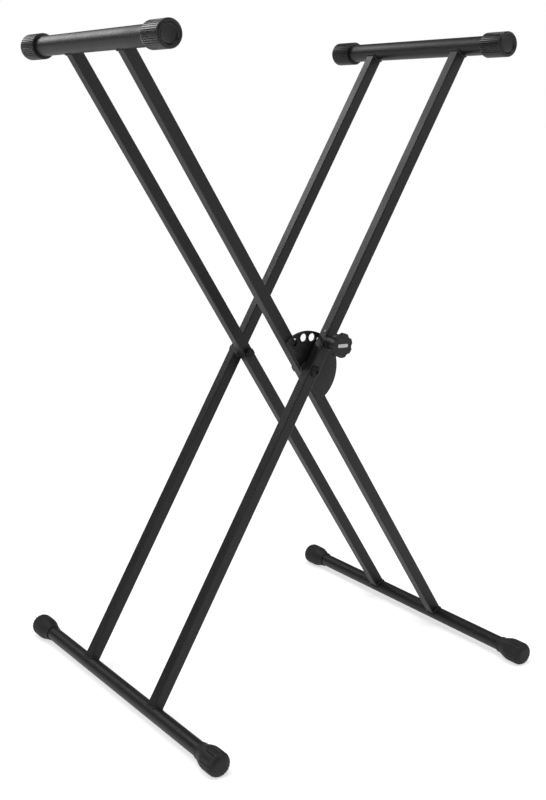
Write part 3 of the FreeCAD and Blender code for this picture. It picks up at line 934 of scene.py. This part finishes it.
# ---- welds --------------------------------------------------------------------------------------
@dataclass
class FrameWelds:
    """The rippled weld beads where the legs of one frame meet its bars."""

    owner: LeaningFrame
    bead_radius: float = 1.7 * MM
    ripple_pitch: float = 1.5 * MM
    ripple: tuple[float, ...] = (1.0, 1.07, 1.1, 0.9)
    leg_corner: float = 1.6 * MM

    def seam(self, bar: str, leg_y: float, half_side: float) -> list[Vector]:
        """Points along the line where a leg's outside meets a bar, in the upright frame.

        Args:
            bar: "top" or "base".
            leg_y: The leg's middle along the pivot line.
            half_side: Half the leg's width.

        Returns:
            The points, evenly spaced, once round the leg.
        """
        _, bar_radius, _ = self.owner.bar(bar)
        sign = 1.0 if bar == "top" else -1.0
        straight = 2.0 * (half_side - self.leg_corner)
        turn = FULL_TURN / 4.0 * self.leg_corner
        around = 4.0 * (straight + turn)
        count = int(around / self.ripple_pitch) * len(self.ripple)
        points = []
        for i in range(count):
            quarter, along = divmod(around * i / count, straight + turn)
            if along < straight:
                x, y = half_side, along - straight / 2.0
            else:
                angle = (along - straight) / self.leg_corner
                x = half_side - self.leg_corner + self.leg_corner * math.cos(angle)
                y = straight / 2.0 + self.leg_corner * math.sin(angle)
            spot = Matrix.Rotation(quarter * FULL_TURN / 4.0, 2) @ Vector((x, y))
            depth = math.sqrt(bar_radius ** 2 - spot.x ** 2)
            points.append(Vector((spot.x, leg_y + spot.y, sign * (self.owner.reach - depth))))
        return points

    def bead(self, name: str, points: list[Vector]) -> bpy.types.Object:
        """Draw a closed line and give it the thickness and ripples of a weld.

        Args:
            name: The bead's name.
            points: The line.

        Returns:
            The bead, in the upright frame.
        """
        line = draw_outline(name, points, True)
        activate(line)
        bpy.ops.object.convert(target="CURVE")
        line.data.bevel_depth = self.bead_radius
        line.data.bevel_resolution = 2
        for i, point in enumerate(line.data.splines[0].points):
            point.radius = self.ripple[i % len(self.ripple)]
        bpy.ops.object.convert(target="MESH")
        with editing(line):
            bpy.ops.mesh.select_all(action="SELECT")
            bpy.ops.mesh.remove_doubles(threshold=MERGE_DISTANCE)
            bpy.ops.mesh.normals_make_consistent(inside=False)
        return line

    def build(self) -> None:
        """Model the frame's four beads as one piece and hand it over."""
        node = f"{self.owner.prefix}_frame_welds"
        beads = []
        for side in Side:
            low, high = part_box(f"{self.owner.prefix}_leg_{side.name.lower()}")
            for bar in ("top", "base"):
                points = self.seam(bar, (low.y + high.y) / 2.0, (high.y - low.y) / 2.0)
                bead = self.bead(f"{node}_{side.name.lower()}_{bar}", points)
                place(bead, self.owner.upright(), smooth=60.0)
                beads.append(bead)
        piece = join(beads, f"rippled_{node}")
        hand_over(piece, POWDER_COAT, self.owner.part, node)


# ---- lock plate ---------------------------------------------------------------------------------
@dataclass
class LockPlate:
    """The stamped half-moon plate with its holes, and the two weld runs that hold it."""

    hole_angles: tuple[float, ...] = (85.6, 63.8, 45.5, 27.2, 8.9)
    hole_circle: float = 43.2 * MM
    hole_radius: float = 5.4 * MM
    bolt_radius: float = 4.1 * MM
    straight_edge: float = 6.4 * MM
    corner: float = 3.0 * MM
    stamped_edge: float = 0.45 * MM
    weld_height: float = 31.0 * MM
    weld_length: float = 24.0 * MM
    weld_radius: float = 1.5 * MM
    ripple_pitch: float = 1.6 * MM
    ripple: tuple[tuple[float, float], ...] = ((0.1, 0.82), (0.4, 1.0), (0.8, 1.05))

    def __post_init__(self) -> None:
        """Read the plate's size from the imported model."""
        low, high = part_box("lock_plate")
        self.thickness = high.y - low.y
        self.back = -high.y
        self.radius = high.z - INNER.pivot.z

    def drill(self, plate: bpy.types.Object, radius: float, x: float, y: float) -> None:
        """Cut a round hole through the plate.

        Args:
            plate: The plate.
            radius: The hole's radius.
            x: Its place along the plate's X.
            y: Its place along the plate's Y.
        """
        tool = add_cylinder("drill", 64, radius, 4.0 * self.thickness, (x, y, 0.0))
        combine(plate, tool, "DIFFERENCE")

    def half_moon(self) -> list[Vector]:
        """Draw the plate's outline.

        Returns:
            The points of a large arc, a straight edge and two rounded corners.
        """
        across = self.corner - self.straight_edge
        along = math.sqrt((self.radius - self.corner) ** 2 - across ** 2)
        turn = math.degrees(math.atan2(along, across))
        points = arc(0.0, 0.0, self.radius, -turn, turn, 120)
        points += arc(across, along, self.corner, turn, 180.0, 6)[1:]
        points += arc(across, -along, self.corner, 180.0, 360.0 - turn, 6)[:-1]
        return [Vector((x, y, 0.0)) for x, y in points]

    def build_plate(self) -> None:
        """Stamp the half-moon, drill it and ease its edges."""
        plate = draw_outline("stamped_lock_plate", self.half_moon(), True)
        with editing(plate):
            bpy.ops.mesh.select_all(action="SELECT")
            bpy.ops.mesh.edge_face_add()
            rise = (0.0, 0.0, self.thickness)
            bpy.ops.mesh.extrude_region_move(TRANSFORM_OT_translate={"value": rise})
            bpy.ops.mesh.select_all(action="SELECT")
            bpy.ops.mesh.normals_make_consistent(inside=False)
        self.drill(plate, self.bolt_radius, 0.0, 0.0)
        for angle in map(math.radians, self.hole_angles):
            self.drill(plate, self.hole_radius, self.hole_circle * math.cos(angle),
                       self.hole_circle * math.sin(angle))
        ease_edges(plate, self.stamped_edge)
        place(plate, INNER.facing(Side.NEAR, self.back, 0.0))
        hand_over(plate, POWDER_COAT, Part.INNER, "lock_plate")

    def build_welds(self) -> None:
        """Lay the two weld runs along the leg's side behind the plate."""
        low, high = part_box("inner_leg_near")
        half_side = (high.y - low.y) / 2.0
        outline = [(0.0, 0.0)]
        for i in range(int(self.weld_length / self.ripple_pitch)):
            outline += [(self.weld_radius * share, (i + step) * self.ripple_pitch)
                        for step, share in self.ripple]
        outline.append((0.0, self.weld_length))
        runs = []
        for name, sign in (("lower", -1.0), ("upper", 1.0)):
            run = lathe(f"plate_weld_{name}", outline, 16)
            start = sign * self.weld_height - self.weld_length / 2.0
            spot = Matrix.Translation((half_side, -self.back, start))
            place(run, INNER.upright() @ spot, smooth=60.0)
            runs.append(run)
        piece = join(runs, "rippled_lock_plate_welds")
        hand_over(piece, POWDER_COAT, Part.INNER, "lock_plate_welds")

    def build(self) -> None:
        """Build the plate and its welds."""
        self.build_plate()
        self.build_welds()


# ---- pivot hardware -----------------------------------------------------------------------------
@dataclass
class PivotHardware:
    """Low-head bolts, thin nuts and washers of the two pivots."""

    bolt_radius: float = 4.0 * MM
    head_radius: float = 7.0 * MM
    head_height: float = 2.8 * MM
    head_side: float = 0.8 * MM
    head_edge: float = 0.3 * MM
    crown_share: float = 0.6
    crown_steps: int = 8
    socket_flats: float = 5.0 * MM
    socket_depth: float = 1.6 * MM
    thread_pitch: float = 1.25 * MM
    thread_depth: float = 0.55 * MM
    thread_length: float = 5.0 * MM
    thread_start: float = 0.3 * MM
    thread_rise: float = 0.45
    thread_crest: float = 0.6
    bolt_length: float = 47.5 * MM
    nut_flats: float = 13.0 * MM
    nut_height: float = 4.0 * MM
    nut_chamfer: float = 0.6 * MM
    nut_face_inset: float = 0.2 * MM
    rounder_margin: float = 0.5 * MM
    washer_radius: float = 7.8 * MM
    washer_bore: float = 4.1 * MM
    washer_thickness: float = 1.2 * MM
    washer_edge: float = 0.25 * MM

    def __post_init__(self) -> None:
        """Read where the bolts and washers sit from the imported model."""
        self.bolt_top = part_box("pivot_bolts")[1].y
        self.nut_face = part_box("pivot_nuts")[1].y
        self.head_washer_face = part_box("pivot_head_washers")[1].y

    def bolt(self, name: str) -> bpy.types.Object:
        """Turn a bolt with a threaded end, its head up, and cut its hexagon socket.

        Args:
            name: The bolt's name.

        Returns:
            The bolt.
        """
        root = self.bolt_radius - self.thread_depth
        outline: Outline = [(0.0, 0.0), (root, 0.0)]
        for i in range(int(self.thread_length / self.thread_pitch)):
            start = self.thread_start + i * self.thread_pitch
            outline += [(root, start),
                        (self.bolt_radius, start + self.thread_rise * self.thread_pitch),
                        (self.bolt_radius, start + self.thread_crest * self.thread_pitch)]
        neck = self.bolt_length - self.head_height
        outline += [(self.bolt_radius, self.thread_length + self.thread_pitch),
                    (self.bolt_radius, neck)]
        outline += arc(self.head_radius - self.head_edge, neck + self.head_edge, self.head_edge,
                       -90.0, 0.0, 2)
        flat = self.head_radius * self.crown_share
        crown = self.head_height - self.head_side
        for i in range(self.crown_steps):
            angle = math.radians(90.0 * i / self.crown_steps)
            outline.append((flat + (self.head_radius - flat) * math.cos(angle),
                            neck + self.head_side + crown * math.sin(angle)))
        outline += [(flat, self.bolt_length), (0.0, self.bolt_length)]
        bolt = lathe(name, outline, 48)
        key = add_cylinder("hexagon_key", 6, self.socket_flats / math.sqrt(3.0),
                           2.0 * self.socket_depth, (0.0, 0.0, self.bolt_length))
        combine(bolt, key, "DIFFERENCE")
        return bolt

    def nut(self, name: str) -> bpy.types.Object:
        """Model a thin hexagon nut with its corners chamfered at both ends.

        Args:
            name: The nut's name.

        Returns:
            The nut.
        """
        top = self.nut_height
        corner = self.nut_flats / math.sqrt(3.0)
        nut = add_cylinder(name, 6, corner, top, (0.0, 0.0, top / 2.0))
        bpy.ops.object.transform_apply(location=True, rotation=True, scale=True)
        face = self.nut_flats / 2.0 - self.nut_face_inset
        slope = (corner - face) / self.nut_chamfer
        small = face - slope * self.rounder_margin
        large = corner + self.rounder_margin
        drop = (large - face) / slope
        low, high = -self.rounder_margin, top + self.rounder_margin
        outline = [(0.0, high), (small, high), (large, top - drop), (large, drop), (small, low),
                   (0.0, low)]
        combine(nut, lathe("rounder", outline, 70), "INTERSECT")
        bore = add_cylinder("bore", 48, self.bolt_radius + FIT_GAP, 4.0 * top)
        combine(nut, bore, "DIFFERENCE")
        return nut

    def washer(self, name: str) -> bpy.types.Object:
        """Turn a plain washer with eased edges.

        Args:
            name: The washer's name.

        Returns:
            The washer.
        """
        ease, rim, top = self.washer_edge, self.washer_radius, self.washer_thickness
        outline = [(self.washer_bore, 0.0), (rim - ease, 0.0), (rim, ease), (rim, top - ease),
                   (rim - ease, top), (self.washer_bore, top)]
        return lathe(name, outline, 72, closed=True)

    def pair(self, name: str, maker: Callable[[str], bpy.types.Object], owner: LeaningFrame,
             distance: float) -> bpy.types.Object:
        """Make the near and the far copy of a piece.

        Args:
            name: The name of the pair.
            maker: The method that makes one piece.
            owner: The frame that it belongs to.
            distance: How far its own origin is from the middle plane.

        Returns:
            Both pieces, in place, as one object.
        """
        made = []
        for side in Side:
            piece = maker(f"{name}_{side.name.lower()}")
            place(piece, owner.facing(side, distance, 0.0))
            made.append(piece)
        return join(made, name)

    def build(self) -> None:
        """Build all the pivot hardware."""
        bolts = self.pair("low_head_bolts", self.bolt, INNER, self.bolt_top - self.bolt_length)
        hand_over(bolts, BLACK_OXIDE, Part.INNER, "pivot_bolts")
        nuts = self.pair("thin_pivot_nuts", self.nut, INNER, self.nut_face - self.nut_height)
        hand_over(nuts, BLACK_OXIDE, Part.INNER, "pivot_nuts")
        inside = self.pair("nut_washers", self.washer, INNER, self.nut_face)
        hand_over(inside, BLACK_OXIDE, Part.INNER, "pivot_nut_washers")
        outside = self.pair("head_washers", self.washer, OUTER,
                            self.head_washer_face - self.washer_thickness)
        hand_over(outside, BLACK_OXIDE, Part.OUTER, "pivot_head_washers")


# ---- lock plunger -------------------------------------------------------------------------------
@dataclass
class LockPlunger:
    """The turned barrel on the near outer leg and the lobed pull knob with its pale inlay."""

    axis_height: float = 43.2 * MM
    spigot_radius: float = 5.8 * MM
    spigot_bore: float = 4.65 * MM
    barrel_radius: float = 8.5 * MM
    barrel_floor: float = 1.4 * MM
    barrel_length: float = 15.5 * MM
    barrel_ease: float = 0.6 * MM
    ring_groove: float = 0.35 * MM
    ring_heights: tuple[float, float] = (4.0 * MM, 5.6 * MM)
    fine_edge: float = 0.2 * MM
    chamber_radius: float = 6.8 * MM
    lid_thickness: float = 2.0 * MM
    lid_spigot: float = 2.0 * MM
    lid_round: float = 1.0 * MM
    stem_bore: float = 3.05 * MM
    stem_depth: float = 6.5 * MM
    stem_edge: float = 0.3 * MM
    lobes: int = 7
    lobe_turn: float = 48.2
    lobe_steps: int = 26
    scallop_radius: float = 5.5 * MM
    scallop_depth: float = 1.8 * MM
    softness: float = 0.3 * MM
    neck_radius: float = 7.5 * MM
    neck_length: float = 0.8 * MM
    neck_overlap: float = 1.0 * MM
    neck_edge: float = 0.3 * MM
    back_round: float = 0.8 * MM
    face_round: float = 1.7 * MM
    face_steps: int = 6
    face_ring: float = 0.80
    ring_steps: tuple[tuple[float, float], ...] = (
        (0.0, 0.0), (0.02, 0.25 * MM), (0.05, 0.25 * MM), (0.07, 0.0))
    inlay_length: float = 16.0 * MM
    inlay_width: float = 4.6 * MM
    inlay_turn: float = 29.0
    inlay_depth: float = 0.8 * MM
    inlay_thickness: float = 1.0 * MM
    inlay_round: float = 1.7 * MM
    inlay_ease: float = 0.25 * MM
    inlay_gap: float = 0.1 * MM

    def __post_init__(self) -> None:
        """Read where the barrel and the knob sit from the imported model."""
        self.spigot_end = -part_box("plunger_housing")[1].y
        self.leg_face = -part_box("outer_leg_near")[0].y
        low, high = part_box("plunger_knob")
        self.knob_back = -high.y
        self.knob_length = high.y - low.y
        self.knob_radius = max(high.x - low.x, high.z - low.z) / 2.0

    def build_barrel(self) -> None:
        """Turn the barrel with its spigot and its two ring grooves."""
        face = self.leg_face - self.spigot_end
        end = face + self.barrel_length
        floor = face + self.barrel_floor
        rim, groove, edge = self.barrel_radius, self.ring_groove, self.fine_edge
        rings = []
        for height in self.ring_heights:
            middle = face + height
            rings += [(rim, middle - groove), (rim - groove, middle), (rim, middle + groove)]
        outline = [
            (self.spigot_bore, 0.0), (self.spigot_radius, 0.0), (self.spigot_radius, face),
            (rim - self.barrel_ease, face), (rim, face + self.barrel_ease), *rings,
            (rim, end - edge), (rim - edge, end), (self.chamber_radius, end),
            (self.chamber_radius, floor), (self.spigot_bore, floor)]
        barrel = lathe("turned_barrel", outline, 96, closed=True)
        place(barrel, OUTER.facing(Side.NEAR, self.spigot_end, self.axis_height))
        hand_over(barrel, BLACK_OXIDE, Part.OUTER, "plunger_housing")

    def build_lid(self) -> None:
        """Turn the lid that closes the barrel's end."""
        top = self.lid_spigot + self.lid_thickness
        inner = self.chamber_radius - FIT_GAP
        rim, edge, bore = self.barrel_radius, self.fine_edge, self.stem_bore
        outline = [
            (bore, 0.0), (inner, 0.0), (inner, self.lid_spigot), (rim - edge, self.lid_spigot),
            (rim, self.lid_spigot + edge),
            *arc(rim - self.lid_round, top - self.lid_round, self.lid_round, 0.0, 90.0, 4),
            (bore + self.stem_edge, top), (bore, top - self.stem_edge)]
        lid = lathe("barrel_lid", outline, 96, closed=True)
        start = self.leg_face + self.barrel_length - self.lid_spigot
        place(lid, OUTER.facing(Side.NEAR, start, self.axis_height))
        hand_over(lid, BLACK_OXIDE, Part.OUTER, "plunger_housing_cap")

    def lobed_points(self, height: float) -> list[Vector]:
        """Draw the knob's outline, a circle with a shallow scallop between each two lobes.

        Args:
            height: How far up the knob's axis it lies.

        Returns:
            The points.
        """
        count = self.lobes * self.lobe_steps
        reach = self.knob_radius + self.scallop_radius - self.scallop_depth
        points = []
        for i in range(count):
            angle = FULL_TURN * i / count
            from_scallop = (angle - math.radians(self.lobe_turn)) * self.lobes / FULL_TURN
            offset = (from_scallop - math.floor(from_scallop) - 0.5) * FULL_TURN / self.lobes
            under = self.scallop_radius ** 2 - (reach * math.sin(offset)) ** 2
            radius = self.knob_radius
            if under > 0.0:
                scallop = reach * math.cos(offset) - math.sqrt(under)
                nearness = sum(math.exp(-reached / self.softness)
                               for reached in (self.knob_radius, scallop))
                radius = -self.softness * math.log(nearness)
            points.append(Vector((radius * math.cos(angle), radius * math.sin(angle), height)))
        return points

    def inlay_block(self, name: str, grow: float, bottom: float, top: float) -> bpy.types.Object:
        """Model a flat bar with rounded ends, turned to the inlay's angle.

        Args:
            name: The piece's name.
            grow: How much larger than the inlay it is, all round.
            bottom: The height of its underside.
            top: The height of its upper side.

        Returns:
            The bar.
        """
        bpy.ops.object.select_all(action="DESELECT")
        bpy.ops.mesh.primitive_cube_add(size=1.0, location=(0.0, 0.0, (bottom + top) / 2.0))
        bar = new_primitive(name)
        bar.scale = (self.inlay_length + 2.0 * grow, self.inlay_width + 2.0 * grow,
                     top - bottom)
        bpy.ops.object.transform_apply(location=True, rotation=True, scale=True)
        with editing(bar):
            bpy.ops.mesh.select_mode(type="EDGE")
            mesh = bmesh.from_edit_mesh(bar.data)
            for edge in mesh.edges:
                edge.select = abs(edge.verts[0].co.z - edge.verts[1].co.z) > 0.5 * (top - bottom)
            bmesh.update_edit_mesh(bar.data)
            bpy.ops.mesh.bevel(offset=self.inlay_round + grow, segments=6, affect="EDGES")
        bar.rotation_euler = (0.0, 0.0, math.radians(self.inlay_turn))
        bpy.ops.object.transform_apply(location=True, rotation=True, scale=True)
        return bar

    def knob_steps(self) -> Outline:
        """Tell how wide the knob is at each height.

        Returns:
            Pairs of a share of the knob's outline and a height, from the back to the face.
        """
        bottom, face = self.neck_length, self.knob_length
        steps = [(1.0 - self.back_round / self.knob_radius, bottom),
                 (1.0, bottom + self.back_round)]
        for i in range(self.face_steps + 1):
            angle = math.radians(90.0 * i / self.face_steps)
            inset = self.face_round * (1.0 - math.cos(angle)) / self.knob_radius
            steps.append((1.0 - inset, face - self.face_round * (1.0 - math.sin(angle))))
        steps += [(self.face_ring - inwards, face - down) for inwards, down in self.ring_steps]
        return steps

    def build_knob(self) -> None:
        """Extrude the lobed knob step by step, add its neck and bore, and sink the recess."""
        bottom, face = self.neck_length, self.knob_length
        knob = draw_outline("lobed_pull_knob", self.lobed_points(bottom), True)
        (size, height), *steps = self.knob_steps()
        with editing(knob):
            bpy.ops.mesh.select_all(action="SELECT")
            bpy.ops.mesh.edge_face_add()
            bpy.ops.transform.resize(value=(size, size, 1.0), center_override=(0.0, 0.0, bottom))
            for next_size, next_height in steps:
                rise = (0.0, 0.0, next_height - height)
                bpy.ops.mesh.extrude_region_move(TRANSFORM_OT_translate={"value": rise})
                share = next_size / size
                bpy.ops.transform.resize(value=(share, share, 1.0),
                                         center_override=(0.0, 0.0, next_height))
                size, height = next_size, next_height
            bpy.ops.mesh.select_all(action="SELECT")
            bpy.ops.mesh.normals_make_consistent(inside=False)
        top = bottom + self.neck_overlap
        neck = lathe("neck", [(0.0, top), (self.neck_radius, top),
                              (self.neck_radius, self.neck_edge),
                              (self.neck_radius - self.neck_edge, 0.0), (0.0, 0.0)], 64)
        combine(knob, neck, "UNION")
        bore = add_cylinder("stem_bore", 48, self.stem_bore, 2.0 * self.stem_depth)
        combine(knob, bore, "DIFFERENCE")
        recess = self.inlay_block("recess", self.inlay_gap, face - self.inlay_depth,
                                  face + self.inlay_thickness)
        combine(knob, recess, "DIFFERENCE")
        place(knob, OUTER.facing(Side.NEAR, self.knob_back, self.axis_height), smooth=30.0)
        hand_over(knob, KNOB_PLASTIC, Part.PLUNGER, "plunger_knob")

    def build_inlay(self) -> None:
        """Model the pale bar in the knob's face."""
        floor = self.knob_length - self.inlay_depth
        inlay = self.inlay_block("pale_knob_bar", 0.0, floor, floor + self.inlay_thickness)
        ease_edges(inlay, self.inlay_ease, 50.0)
        place(inlay, OUTER.facing(Side.NEAR, self.knob_back, self.axis_height))
        hand_over(inlay, INLAY_PLASTIC, Part.PLUNGER, "knob_inlay")

    def build(self) -> None:
        """Build the barrel, its lid, the knob and the inlay."""
        self.build_barrel()
        self.build_lid()
        self.build_knob()
        self.build_inlay()


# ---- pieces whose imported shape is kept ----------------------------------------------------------
@dataclass
class KeptNodes:
    """CAD nodes whose shape is right: the tubes and the small pieces inside them."""

    finishes: dict[str, Finish] = field(default_factory=lambda: {
        "inner_leg_near": POWDER_COAT, "inner_leg_far": POWDER_COAT,
        "outer_leg_near": POWDER_COAT, "outer_leg_far": POWDER_COAT,
        "inner_top_bar": POWDER_COAT, "outer_top_bar": POWDER_COAT,
        "inner_base_bar": POWDER_COAT, "outer_base_bar": POWDER_COAT,
        "pivot_bush_near": NYLON, "pivot_bush_far": NYLON, "guide_block": NYLON,
        "inner_leg_sleeves": ZINC_STEEL, "guide_block_rivet": DULL_STEEL,
        "plunger_pin": ZINC_STEEL, "plunger_washer": ZINC_STEEL, "plunger_spring": ZINC_STEEL,
    })

    def build(self) -> None:
        """Give every kept node its finish."""
        for name, finish in self.finishes.items():
            for slot in frame["nodes"][name].material_slots:
                slot.material = finish.material()
            logger.info("%s: %s", name, finish.name)


# ---- studio -------------------------------------------------------------------------------------
@dataclass(frozen=True)
class SoftBox:
    """A rectangular light: where it is, the point that it faces, its size and its strength."""

    name: str
    spot: Spot
    aim: Spot
    size: tuple[float, float]
    power: float
    spread: float = 180.0

    def hang(self) -> None:
        """Add the light, unseen by the camera."""
        bpy.ops.object.select_all(action="DESELECT")
        bpy.ops.object.light_add(type="AREA", location=self.spot)
        light = bpy.context.object
        light.name = self.name
        light.data.shape = "RECTANGLE"
        light.data.size, light.data.size_y = self.size
        light.data.energy = self.power
        light.data.spread = math.radians(self.spread)
        light.visible_camera = False
        ahead = Vector(self.aim) - Vector(self.spot)
        light.rotation_euler = ahead.to_track_quat("-Z", "Y").to_euler()


@dataclass
class Studio:
    """A plain white floor under a white sky, with three soft boxes and a wide overhead light."""

    floor_radius: float = 40.0
    floor_color: float = 0.80
    floor_glow: float = 0.35
    floor_lift: float = 0.25
    sky: float = 0.16
    sun_power: float = 1.2
    sun_width: float = 50.0
    sun_place: Spot = (-1.5, 1.0, 3.0)
    sun_direction: Spot = (0.15, 0.0, -1.0)
    boxes: tuple[SoftBox, ...] = (
        SoftBox("back_box", (-0.5, 2.6, 2.3), (0.0, 0.0, 1.2), (2.4, 1.3), 3.9, 44.0),
        SoftBox("right_box", (1.45, -1.75, 1.60), (0.1, 0.0, 0.8), (1.4, 1.0), 12.0),
        SoftBox("left_box", (-2.2, -0.4, 1.5), (0.0, 0.0, 0.6), (0.9, 1.3), 11.0))
    camera_place: Spot = (-0.9405, -1.3456, 0.7744)
    camera_heading: float = 34.96
    camera_dip: float = 13.64
    camera_roll: float = -0.404
    lens: float = 54.37
    sensor: float = 36.0
    nearest: float = 0.01

    def build_floor(self) -> None:
        """Lay the floor, which looks nearly white to the camera and still takes the shadow."""
        bpy.ops.object.select_all(action="DESELECT")
        bpy.ops.mesh.primitive_circle_add(vertices=96, radius=self.floor_radius,
                                          fill_type="NGON")
        floor = new_primitive("studio_floor")
        material = bpy.data.materials.new("studio_floor")
        material.use_nodes = True
        graph = ShaderGraph(material.node_tree)
        shader = material.node_tree.nodes["Principled BSDF"]
        shade = self.floor_color
        shader.inputs["Base Color"].default_value = (shade, shade, shade, 1.0)
        shader.inputs["Roughness"].default_value = 1.0
        shader.inputs["Specular IOR Level"].default_value = 0.0
        shader.inputs["Emission Color"].default_value = (1.0, 1.0, 1.0, 1.0)
        seen = graph.add("LightPath").outputs["Is Camera Ray"]
        glow = graph.math("MULTIPLY_ADD", seen, self.floor_lift, self.floor_glow)
        graph.feed(shader.inputs["Emission Strength"], glow)
        floor.data.materials.append(material)

    def build_sky(self) -> None:
        """Make the sky white to the camera and dimmer as a light."""
        world = bpy.data.worlds.new("studio_sky")
        bpy.context.scene.world = world
        world.use_nodes = True
        graph = ShaderGraph(world.node_tree)
        background = world.node_tree.nodes["Background"]
        seen = graph.add("LightPath").outputs["Is Camera Ray"]
        strength = graph.math("MULTIPLY_ADD", seen, 1.0 - self.sky, self.sky)
        background.inputs["Color"].default_value = (1.0, 1.0, 1.0, 1.0)
        graph.feed(background.inputs["Strength"], strength)

    def build_lights(self) -> None:
        """Hang the soft boxes and the wide overhead light."""
        for box in self.boxes:
            box.hang()
        bpy.ops.object.select_all(action="DESELECT")
        bpy.ops.object.light_add(type="SUN", location=self.sun_place)
        sun = bpy.context.object
        sun.name = "overhead_light"
        sun.data.energy = self.sun_power
        sun.data.angle = math.radians(self.sun_width)
        sun.rotation_euler = Vector(self.sun_direction).to_track_quat("-Z", "Y").to_euler()

    def build_camera(self) -> None:
        """Set the camera at the photograph's viewing angle."""
        bpy.ops.object.camera_add(location=self.camera_place)
        camera = bpy.context.object
        camera.name = "camera"
        camera.data.sensor_width = self.sensor
        camera.data.lens = self.lens
        camera.data.clip_start = self.nearest
        heading, dip = math.radians(self.camera_heading), math.radians(self.camera_dip)
        ahead = Vector((math.sin(heading) * math.cos(dip), math.cos(heading) * math.cos(dip),
                        -math.sin(dip)))
        right = Vector((math.cos(heading), -math.sin(heading), 0.0))
        up = right.cross(ahead)
        roll = math.radians(self.camera_roll)
        right, up = (right * math.cos(roll) + up * math.sin(roll),
                     up * math.cos(roll) - right * math.sin(roll))
        camera.rotation_euler = Matrix((right, up, -ahead)).transposed().to_euler()
        bpy.context.scene.camera = camera

    def build(self) -> None:
        """Build the whole studio."""
        self.build_floor()
        self.build_sky()
        self.build_lights()
        self.build_camera()
        bpy.context.scene.view_settings.view_transform = "Standard"
        bpy.context.scene.view_settings.look = "None"
        logger.info("studio is ready")


def main() -> None:
    """Build every piece in order, then the studio."""
    logging.basicConfig(level=logging.INFO, format="%(name)s: %(message)s")
    for owner in (INNER, OUTER):
        for side in Side:
            TopCap(owner, side).build()
            Foot(owner, side).build()
        FrameWelds(owner).build()
    LockPlate().build()
    PivotHardware().build()
    LockPlunger().build()
    KeptNodes().build()
    Studio().build()


if __name__ == "__main__":
    main()
